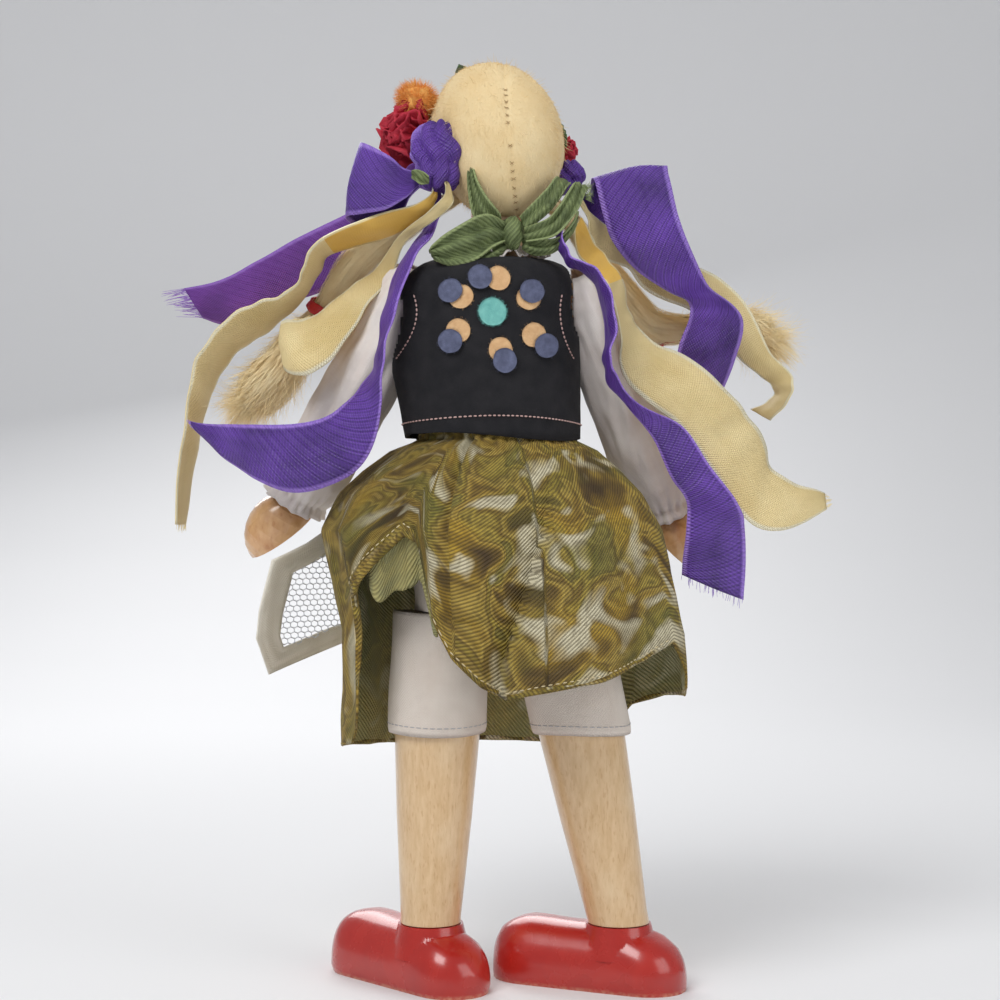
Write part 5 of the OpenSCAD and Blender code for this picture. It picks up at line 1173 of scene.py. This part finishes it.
def felt_at(a, r, z, out=0.0):
    """A point on the bodice; its back stands off towards the doll's left armhole."""
    x, y = r * cos(a), r * sin(a)
    deg = degrees(a) % 360
    reach = max(0, min(1, (z - 122) / 14)) * max(0, min(1, (161 - z) / 8))
    around = 0.5 + 0.5 * cos(radians(max(-70, min(70, deg - 22)) * 180 / 70))
    x += 5.6 * reach * around ** 1.5 + 2.6 * (1 - reach) * around
    length = hypot(x, y)
    return Vector((AXIS + x * (1 + out / length), y * (1 + out / length), z))


rows = []
for r, z in finely(worn_round(FELT_OFF, HEM_CUT, 11.9), 1.0):
    if z < 129:
        r = FELT_R
    rows.append([felt_at(TURN * k / 144, r + 0.15 * uneven(k * 0.15, z * 0.2, 1),
                         z + (0.9 * sin(TURN * k / 144 * 2) if z < 122 else 0)) for k in range(144)])
bodice = cloth_piece("felt_bodice", rows, 1.15, wrap=True)
drop_faces(bodice, lambda p: in_armhole(p, ARMHOLE_R) or p[0] > 12 and hypot(p[1] / 9.3, (p[2] - 149.5) / 13.5) < 1)
fit(bodice, "torso", felt, "black_felt", "bodice")
cut_size(bodice)

pink_thread = cloth_finish("pink_thread", (0.72, 0.5, 0.46, 1), (0.45, 0.27, 0.25, 1), 3000.0, 3000.0, rough=0.6)
points, faces = [], []


def running_stitches(line, radius=0.16, share=0.68):
    """Stitches along a line of points, each a plump short thread."""
    for a, b in zip(line, line[1:]):
        rod(points, faces, a, a.lerp(b, share), radius, 6, 1.25)


line = [felt_at(a, FELT_R, 124.4 + 1.4 * max(0, sin(a)) * cos(a - 1.6), STITCH_OUT) for a in round_trip(120)]
running_stitches(line + line[:1])
for side in (0, 1):
    line = []
    for k in range(25):
        t = radians(-62 + 124 * k / 24)
        z = SHOULDER_Z + 11.2 * sin(t) - 2.5
        y = 4.0 + 8.2 * cos(t)
        a = asin(min(0.98, y / FELT_R))
        if z < 153.0:
            line.append(felt_at(a if side == 0 else pi - a, FELT_R, z, STITCH_OUT))
    running_stitches(line)
fit(mesh_piece("bodice_stitches", points, faces), "torso", pink_thread, "black_felt")

# Felt dots: little rounds of peach and slate felt sewn on the back, one half over the other,
# with a turquoise round in the middle of the ring.
peach, slate, turquoise = (napped_finish(name, light, dark, 700.0, 0.95, 0.2, 0.6) for name, light, dark in (
    ("peach_felt", (0.8, 0.55, 0.3, 1), (0.66, 0.4, 0.2, 1)),
    ("slate_felt", (0.16, 0.18, 0.29, 1), (0.09, 0.1, 0.17, 1)),
    ("turquoise_felt", (0.26, 0.62, 0.56, 1), (0.15, 0.45, 0.42, 1))))


def on_back(x, z, out):
    """The place on the bodice's back at a distance to the side and a height."""
    low, high = 0.2, pi - 0.2
    for _ in range(18):
        a = (low + high) / 2
        low, high = (a, high) if felt_at(a, FELT_R, z, out).x > x else (low, a)
    return felt_at(a, FELT_R, z, out)


def felt_round(points, faces, x, z, d, out, seed):
    """A round of felt, slightly uneven, that lies on the bodice's back."""
    first = len(points)
    rings, sides = 5, 36
    for level, lift in ((0, 0.0), (1, 0.45)):
        for i in range(rings + 1):
            for a in round_trip(sides):
                r = d / 2 * (i + 0.001) / rings * (1 + 0.025 * sin(2 * a + seed) + 0.01 * sin(5 * a + 2 * seed))
                px, pz = x + r * cos(a), z + r * sin(a)
                edge = 0.12 * (i == rings)
                points.append(on_back(px, pz, 0.6 + out + lift - (edge if level else -edge)))
    for level in (0, 1):
        faces += grid(first + level * (rings + 1) * sides, rings, sides)
    low, high = first + rings * sides, first + (2 * rings + 1) * sides
    faces += [(low + k, low + (k + 1) % sides, high + (k + 1) % sides, high + k) for k in range(sides)]


DOT_X, DOT_Z, FIELD, DOT_HAIRS = 1.6, 147.9, 10.2, 260
for name, places, d, out, finish, slot, stands in (
    ("peach_rounds", [(-0.12, 0.7), (-0.76, 0.3), (-0.87, -0.47), (-0.17, -0.79), (0.72, -0.38), (0.66, 0.33)], 5.2,
     0.0, peach, "peach_felt", "peach_dots"),
    ("slate_rounds", [(0.26, 0.73), (-0.83, 0.44), (-1.14, -0.69), (-0.26, -1.02), (0.89, -0.6), (0.89, 0.46)], 5.2,
     0.5, slate, "slate_felt", "slate_dots"),
    ("turquoise_round", [(0, 0)], 6.0, 0.0, turquoise, "turquoise_felt", "turquoise_dot"),
):
    points, faces = [], []
    for i, (x, z) in enumerate(places):
        felt_round(points, faces, DOT_X + FIELD * x, DOT_Z + FIELD * z, d, out, i * 1.7)
    fit(mesh_piece(name, points, faces), "torso", finish, slot, stands)
    roots = []
    dice = random.Random(len(name))
    for n in range(DOT_HAIRS):
        x, z = places[n % len(places)]
        a = dice.uniform(0, TURN)
        px, pz = DOT_X + FIELD * x + d / 2 * cos(a), DOT_Z + FIELD * z + d / 2 * sin(a)
        at = on_back(px, pz, 0.8 + out)
        roots.append((at, Vector((cos(a), 0.4, sin(a))) * dice.uniform(0.15, 0.5)))
    fit(fibres(name + "_fuzz", roots, 0.06, 0.6, 2, 9), "torso", finish, slot)

# Drawers: off-white linen, made as a seat over the hips and a straight tube down each leg,
# hemmed with a row of grey machine stitches.
linen = cloth_finish("drawers_linen", (0.80, 0.73, 0.66, 1), (0.62, 0.53, 0.46, 1), 1500.0, 1500.0, rough=0.9,
                     sheen=0.1, bump=0.6, drift_scale=100.0, weave_share=0.35)
HIP_R, HIP_Z, HEM_Z, TORSO_FOOT = 17.5, 89.0, 56.5, 84.4
LEG_X, LEG_R, LEG_TOP, HEM_W = 12.3, 10.55, 83.2, 1.85
seat_line = [(6.0, TORSO_FOOT - 0.75), (HIP_R + 0.7, TORSO_FOOT - 0.75), (HIP_R + 0.75, 90), (HIP_R + 0.75, 98),
             (WAIST_R + 0.75, 114.2), (WAIST_R + 0.75, 117)]
rows = [[(AXIS + (r + 0.12 * sin(9 * a + z)) * cos(a), (r + 0.12 * sin(7 * a)) * sin(a), z)
         for a in round_trip(96)] for r, z in finely(seat_line, 1.6)]
drawers_seat = cloth_piece("drawers_seat", rows, 0.5, wrap=True)
fit(drawers_seat, "torso", linen, "linen", "drawers")
cut_size(drawers_seat)
grey_thread = cloth_finish("grey_thread", (0.5, 0.5, 0.52, 1), (0.3, 0.3, 0.33, 1), 3000.0, 3000.0, rough=0.7)
for side, name, lean in ((1, "left", 2), (-1, "right", 11)):
    frame_of_leg = (Matrix.Translation((AXIS + side * LEG_X, 0, HIP_Z))
                    @ Matrix.Rotation(-side * radians(lean), 4, "Y"))

    def on_leg(a, z, out=0.0):
        """A point of a drawers leg at an angle and a height, with a slack crease here and there."""
        slack = 0.35 * uneven(2 * cos(a) + side, 2 * sin(a), z * 0.07)
        slack += 0.22 * sin(2 * a + z * 0.12) * max(0, 1 - (z - HEM_Z) / 30)
        r = LEG_R + slack + out
        p = frame_of_leg @ Vector((r * cos(a), r * sin(a) * 0.985, 0))
        axis = frame_of_leg @ Vector((0, 0, 1)) - frame_of_leg @ Vector((0, 0, 0))
        return p + axis * ((z - p.z) / axis.z)

    rows = []
    for i in range(31):
        z = LEG_TOP + (HEM_Z - LEG_TOP) * min(1, i / 27)
        turned = 0.5 * max(0, i - 27) / 3
        z += 6 * turned
        rows.append([on_leg(a, z + 0.25 * sin(2 * a + side), -1.1 * turned) for a in round_trip(96)])
    leg = cloth_piece(name + "_drawers_leg", rows, 0.45, wrap=True)
    fit(leg, None, linen, "linen", "drawers")
    points, faces = [], []
    line = [on_leg(a, HEM_Z + HEM_W + 0.25 * sin(2 * a + side), 0.3) for a in round_trip(44)]
    for a, b in zip(line, line[1:] + line[:1]):
        rod(points, faces, a.lerp(b, 0.12), a.lerp(b, 0.86), 0.1, 5)
    hem = fit(mesh_piece(name + "_drawers_stitches", points, faces), None, grey_thread, "linen")
    for piece in (leg, hem):
        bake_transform(piece)
    cut_size(leg)

# Skirt: one length of printed twill gathered at the waist under the bodice. Its folds are
# stiff, and at the back the hem's left corner is rucked up and shows the pale wrong side.
SKIRT_TOP, SKIRT_HEM, SKIRT_WAIST_R, SKIRT_W, SKIRT_D, SKIRT_BACK = 123.6, 51.0, 16.8, 38.5, 29.0, 32.0
FOLD_DEG, FOLD_LEAN, BACK_EDGE_DEG, FOLDS, GATHERS = 118, 26, 75, 9, 44


def looked_up(x, table, column=1):
    """Straight-line reading of a table whose first column rises."""
    for a, b in zip(table, table[1:]):
        if x <= b[0]:
            return a[column] + (b[column] - a[column]) * max(0, x - a[0]) / (b[0] - a[0])
    return table[-1][column]


levels = [(0, 0, 0), (0.04, 0.02, 0.02), (0.07, 0.3, 0.24), (0.13, 0.58, 0.48), (0.2, 0.82, 0.7), (0.31, 1, 0.9),
          (0.44, 0.9, 0.98), (0.62, 0.78, 1.14), (0.8, 0.75, 1.17), (1, 0.77, 1.05)]
front = [(0, 0), (0.04, 0), (0.08, 0.04), (0.19, 0.15), (0.325, 0.33), (0.46, 0.52), (0.6, 0.72), (0.74, 0.88),
         (0.88, 0.96), (1, 1)]
back = [(0, 0), (0.04, 0), (0.08, 0.2), (0.19, 0.45), (0.325, 0.66), (0.46, 0.8), (0.6, 0.9), (0.74, 0.97), (0.88, 1),
        (1, 1)]
hem_rise = [(0, 0.03), (14, 0.05), (24, 0.14), (32, 0.5), (40, 0.56), (58, 0.68), (63, 0.66), (67, 0.44), (74, 0.33),
            (84, 0.25), (92, 0.215), (104, 0.235), (120, 0.26), (140, 0.31), (152, 0.36), (166, 0.22), (185, 0.18),
            (205, 0.17), (221, 0.13), (232, 0.03), (250, 0.0), (300, 0.0), (360, 0.03)]


def skirt_at(deg, level, out=0.0):
    """A point of the skirt by its turn in degrees from the doll's left and its share of the drop."""
    a = radians(deg)
    drop = (SKIRT_TOP - SKIRT_HEM) * (1 - looked_up(deg % 360, hem_rise))
    down = level * drop / (SKIRT_TOP - SKIRT_HEM)
    wide = SKIRT_WAIST_R + (SKIRT_W - SKIRT_WAIST_R) * looked_up(down, levels, 1 if cos(a) > 0 else 2)
    behind = 0.5 + 0.5 * max(-1, min(1, sin(a) * 8))
    deep = SKIRT_WAIST_R + (SKIRT_D - SKIRT_WAIST_R) * looked_up(down, front) * (1 - behind) + (
        SKIRT_BACK - SKIRT_WAIST_R) * looked_up(down, back) * behind
    open_up = min(1, 2.5 * down)
    fold = 1.25 * open_up * cos(radians(FOLDS * deg + 30))
    fold += 0.45 * exp(-(down / 0.09) ** 2) * sin(radians(GATHERS * deg)) * min(1, down / 0.02)
    fold += open_up * 1.0 * uneven(2.6 * cos(a), 2.6 * sin(a), down * 3.0)
    fold += open_up * 0.35 * uneven(7 * cos(a), 7 * sin(a), down * 8)
    past = deg - (FOLD_DEG - FOLD_LEAN * min(1, down * 1.45))
    if -30 < past < 60 and down > 0.12:
        depth = min(1, (down - 0.12) * 4)
        fold += depth * (3.2 * exp(-max(0, past) / 14) if past >= 0 else -2.2 * exp(past / 7))
    seam = deg - BACK_EDGE_DEG
    if -14 < seam < 25 and 0.03 < down < 0.56:
        fold += 1.3 * exp(-max(0, seam) / 9) if seam >= 0 else -1.4 * exp(seam / 4)
    fold += out
    return Vector((AXIS + (wide + fold) * cos(a), (deep + fold) * sin(a), SKIRT_TOP - level * drop))


def printed(name, pale, rough):
    """Marbled print on twill: strokes of brown, olive and gold swirl round cream blots, and painted shade darkens the
    twill's grooves.
    """
    finish, tree, shader = new_finish(name, Roughness=rough, Sheen_Weight=0.1, Sheen_Roughness=0.4)
    shader.inputs["Sheen Tint"].default_value = (0.6, 0.5, 0.25, 1)
    flat = node(tree, "ShaderNodeUVMap", uv_map="flat").outputs[0]
    place = own_place(tree)
    threads = use(tree, weave, Flat=flat, Across=1300.0, Along=1300.0, Slant=1.0, Slanted=1000.0)
    pull = node(tree, "ShaderNodeTexNoise", {"Vector": flat, "Scale": 60.0, "Detail": 1.0}).outputs["Color"]
    pull = vector_node(tree, "SUBTRACT", pull, (0.5, 0.5, 0.5))
    pull = node(tree, "ShaderNodeVectorMath", {0: pull, "Scale": 0.028}, operation="SCALE").outputs[0]
    swirl = vector_node(tree, "ADD", flat, pull)
    bands = clouds(tree, swirl, 64.0, 2.0, Roughness=0.5, Distortion=0.5)
    ramp = node(tree, "ShaderNodeValToRGB", {0: bands})
    stops = ramp.color_ramp.elements
    stops[0].position, stops[0].color = 0.3, (0.05, 0.026, 0.006, 1)
    stops[1].position, stops[1].color = 0.7, (0.12, 0.10, 0.016, 1)
    for at, paint in ((0.38, (0.15, 0.09, 0.013, 1)), (0.43, (0.34, 0.22, 0.03, 1)), (0.465, (0.44, 0.31, 0.06, 1)),
                      (0.5, (0.17, 0.105, 0.014, 1)), (0.54, (0.28, 0.2, 0.026, 1)), (0.57, (0.42, 0.31, 0.05, 1)),
                      (0.6, (0.14, 0.105, 0.015, 1)), (0.65, (0.3, 0.25, 0.05, 1))):
        stops.new(at).color = paint
    hue = clouds(tree, flat, 42.0, 2.0)
    tone = mix_colour(tree, ranged(tree, hue, 0.52, 0.66, to=(0.0, 0.5)), ramp.outputs[0], (0.16, 0.17, 0.024, 1))
    tone = mix_colour(tree, ranged(tree, hue, 0.45, 0.33, to=(0.0, 0.6)), tone, (0.52, 0.32, 0.02, 1))
    split = node(tree, "ShaderNodeSeparateXYZ", {0: place}).outputs
    low = ranged(tree, split["Z"], 0.098, 0.066, to=(0.0, 0.07))
    right = ranged(tree, split["X"], 0.004, -0.014)
    blots = clouds(tree, swirl, 98.0, 1.0)
    blots = math_node(tree, "ADD", blots, times(tree, low, right))
    blot = ranged(tree, blots, 0.56, 0.68, to=(0.0, 0.95))
    tone = mix_colour(tree, blot, tone, (0.68, 0.62, 0.43, 1))
    brush = clouds(tree, swirl, 520.0, 3.0)
    tone = mix_colour(tree, ranged(tree, brush, 0.45, 0.75, to=(0.0, 0.45)), tone, (0.06, 0.036, 0.008, 1))
    tone = mix_colour(tree, pale, tone, (0.40, 0.42, 0.21, 1))
    # Painted shade: the twill's grooves are darkened, less on the paler wrong side.
    groove_shade = ranged(tree, threads["Height"], 0.55, 0.1, to=(0.0, 0.6 - 0.4 * pale))
    tone = mix_colour(tree, groove_shade, tone, (0.05, 0.032, 0.008, 1))
    tree.links.new(tone, shader.inputs["Base Color"])
    emboss(tree, shader, threads["Height"], 0.9, 0.00022)
    return finish


right_side = printed("printed_twill", 0.0, 0.75)
wrong_side = printed("printed_twill_back", 0.6, 0.85)
SKIRT_TURNS, SKIRT_ROWS = 300, 80
rows = [[skirt_at(360 * k / SKIRT_TURNS, i / SKIRT_ROWS) for k in range(SKIRT_TURNS)] for i in range(SKIRT_ROWS + 1)]
skirt = fit(cloth_piece("skirt_cloth", rows, 0.55, wrap=True), "torso", wrong_side, "skirt_print", "skirt")
skirt.data.materials.append(right_side)
skirt.modifiers["thickness"].material_offset = 1
skirt.modifiers["thickness"].material_offset_rim = 1

# Skirt hem: the edge is rolled up and stitched by hand in pale thread. Where the corner is
# rucked up the roll is thick, and beside it a flap of the wrong side hangs down.
for name, first, last, size in (("rucked_hem", 26, 64, 1.45), ("back_hem", 66, 152, 0.6), ("side_hem", 154, 384, 0.6)):
    rows = []
    count = int((last - first) * 1.3)
    for i in range(count + 1):
        deg = first + (last - first) * i / count
        p = skirt_at(deg % 360, 1.0)
        q = skirt_at((deg + 1.5) % 360, 1.0)
        up = (skirt_at(deg % 360, 0.96) - p).normalized()
        lie = (q - p).normalized()
        out = lie.cross(up).normalized()
        puff = size * (1 + 0.25 * uneven(deg * 0.14, size, 0)) * (1 - 0.6 * abs(2 * i / count - 1) ** 8)
        rows.append([p + up * puff * 0.9 + (out * cos(a) * 0.62 + up * sin(a) * 1.1) * puff * (
            1 + 0.12 * sin(3 * a + deg * 0.3)) for a in round_trip(12)])
    fit(cloth_piece(name, rows, 0, wrap=True), "torso", right_side, "skirt_print")
rows = []
for i in range(19):
    rows.append([])
    for k in range(25):
        deg = 41 + 27 * k / 24
        long = 12.5 * sin(pi * (0.06 + 0.88 * k / 24)) ** 0.55 * (1 + 0.1 * sin(k * 0.5))
        p = skirt_at(deg, 1.0, -1.2)
        fold = 0.7 * sin(k * 0.55) + 0.5 * uneven(k * 0.2, i * 0.15, 4)
        rows[-1].append(p + Vector((0, -0.35, 0)) * i * 0.3 + Vector((0, fold * i / 18, 2.0 - long * i / 18)))
fit(cloth_piece("turned_flap", rows, 0.5), "torso", wrong_side, "skirt_print")
pale_thread = cloth_finish("pale_thread", (0.72, 0.62, 0.4, 1), (0.5, 0.4, 0.22, 1), 3000.0, 3000.0, rough=0.6)
points, faces = [], []
for first, last, size in ((28, 62, 2.6), (68, 150, 1.5)):
    line = [skirt_at(deg, 1.0) + (skirt_at(deg, 0.95) - skirt_at(deg, 1.0)).normalized() * size
            + Vector((cos(radians(deg)), sin(radians(deg)), 0)) * 0.75
            for deg in range(first, last + 1, 2)]
    running_stitches(line, 0.12, 0.6)
hem_stitches = fit(mesh_piece("hem_stitches", points, faces), "torso", pale_thread, "skirt_print")
cut_size(skirt)

# Apron: white net with wide six-sided holes, cut to a point at the side, and bordered with
# a creased cream ribbon. It is tied in under the bodice at the front.
net_thread = cloth_finish("white_net", (0.82, 0.83, 0.86, 1), (0.66, 0.68, 0.74, 1), 2000.0, 2000.0, rough=0.7)
border = cloth_finish("cream_ribbon", (0.92, 0.88, 0.78, 1), (0.76, 0.70, 0.58, 1), 1700.0, 1700.0, rough=0.6,
                      sheen=0.3, bump=0.6, drift_scale=160.0)
APRON_REACH, APRON_HEM, APRON_TOP = 53.5, 68.5, 120.6
outline = [(APRON_REACH * x, APRON_HEM + (APRON_TOP - APRON_HEM) * z) for x, z in (
    (-0.26, 1.04), (-0.25, 0.16), (0.28, 0.17), (0.67, 0.12), (0.963, 0), (1, 0.165), (0.985, 0.28), (0.93, 0.5),
    (0.8, 0.57), (0.68, 0.66), (0.5, 0.85), (0.28, 1.04))]
BORDER_W, CELL, WIRE, ROW_SHARE = 4.4, 1.42, 0.3, 0.866
APRON_FOOT_R, APRON_WAIST_R, APRON_BACK_Y = 60.4, 46.4, 28.6


def on_apron(x, z, out=0.0):
    """A point of the apron, which hangs on a cone round the front of the skirt."""
    share = (z - APRON_HEM) / (APRON_TOP - APRON_HEM)
    r = APRON_FOOT_R + (APRON_WAIST_R - APRON_FOOT_R) * share + out
    return Vector((AXIS + x, APRON_BACK_Y - sqrt(r * r - (x - 2.5) ** 2), z))


def inside(x, z, corners):
    hits = 0
    for (ax, az), (bx, bz) in zip(corners, corners[1:] + corners[:1]):
        if (az > z) != (bz > z) and x < ax + (bx - ax) * (z - az) / (bz - az):
            hits += 1
    return hits % 2 == 1


inner = []
for i, (x, z) in enumerate(outline):
    before, after = Vector(outline[i - 1]), Vector(outline[(i + 1) % len(outline)])
    a, b = (Vector((x, z)) - before).normalized(), (after - Vector((x, z))).normalized()
    n1, n2 = Vector((-a.y, a.x)), Vector((-b.y, b.x))
    mitre = (n1 + n2).normalized()
    inner.append(Vector((x, z)) + mitre * min(2 * BORDER_W, BORDER_W / max(0.35, mitre.dot(n1))))
    if z > APRON_TOP:
        inner[-1].y = z
ROW_H = CELL * ROW_SHARE
points, faces, index = [], [], {}
for row in range(-2, int((APRON_TOP + BORDER_W - APRON_HEM) / ROW_H) + 2):
    for column in range(-20, 44):
        cx, cz = (column + row % 2 / 2) * CELL, APRON_HEM + row * CELL * ROW_SHARE
        if not inside(cx, cz, [tuple(p) for p in inner]):
            continue
        corner_ids = []
        for k in range(6):
            a = radians(60 * k + 30)
            x, z = cx + CELL / sqrt(3) * cos(a), cz + CELL / sqrt(3) * sin(a)
            key = (round(x, 1), round(z, 1))
            if key not in index:
                index[key] = len(points)
                wave = 0.35 * sin(0.25 * x + 0.1 * z) + 0.3 * uneven(x * 0.1, z * 0.1, 2)
                points.append(on_apron(x + 0.1 * uneven(x, z, 0), z, wave - 0.3))
            corner_ids.append(index[key])
        if len(set(corner_ids)) == 6:
            faces.append(tuple(corner_ids))
net = mesh_piece("apron_tulle", points, faces, [(p.x * MM, p.z * MM) for p in points], smooth=False)
wires = net.modifiers.new("threads", "WIREFRAME")
wires.thickness = WIRE * MM
wires.use_even_offset = False
wires.use_boundary = True
fit(net, "torso", net_thread, "net", "apron_net")
strips = []
for i in range(len(outline) - 1):
    a, b, c, d = Vector(outline[i]), Vector(outline[i + 1]), inner[i], inner[i + 1]
    count = max(3, int((b - a).length / 1.2))
    for k in range(count + (1 if i == len(outline) - 2 else 0)):
        strips.append((a.lerp(b, k / count), c.lerp(d, k / count)))
rows = []
for i, (a, b) in enumerate(strips):
    line = []
    for k in range(8):
        p = a.lerp(b, k / 7)
        crease = 0.3 * uneven(p.x * 0.22, p.y * 0.22, 7) + 0.22 * sin(k * 1.6 + i * 0.13)
        line.append(on_apron(p.x, p.y, crease - 0.2))
    rows.append(line)
trim = cloth_piece("apron_border_ribbon", rows, 0.35)
fit(trim, "torso", border, "cream_ribbon", "apron_border")
cut_size(trim)
cut_size(net, solid=0.5)
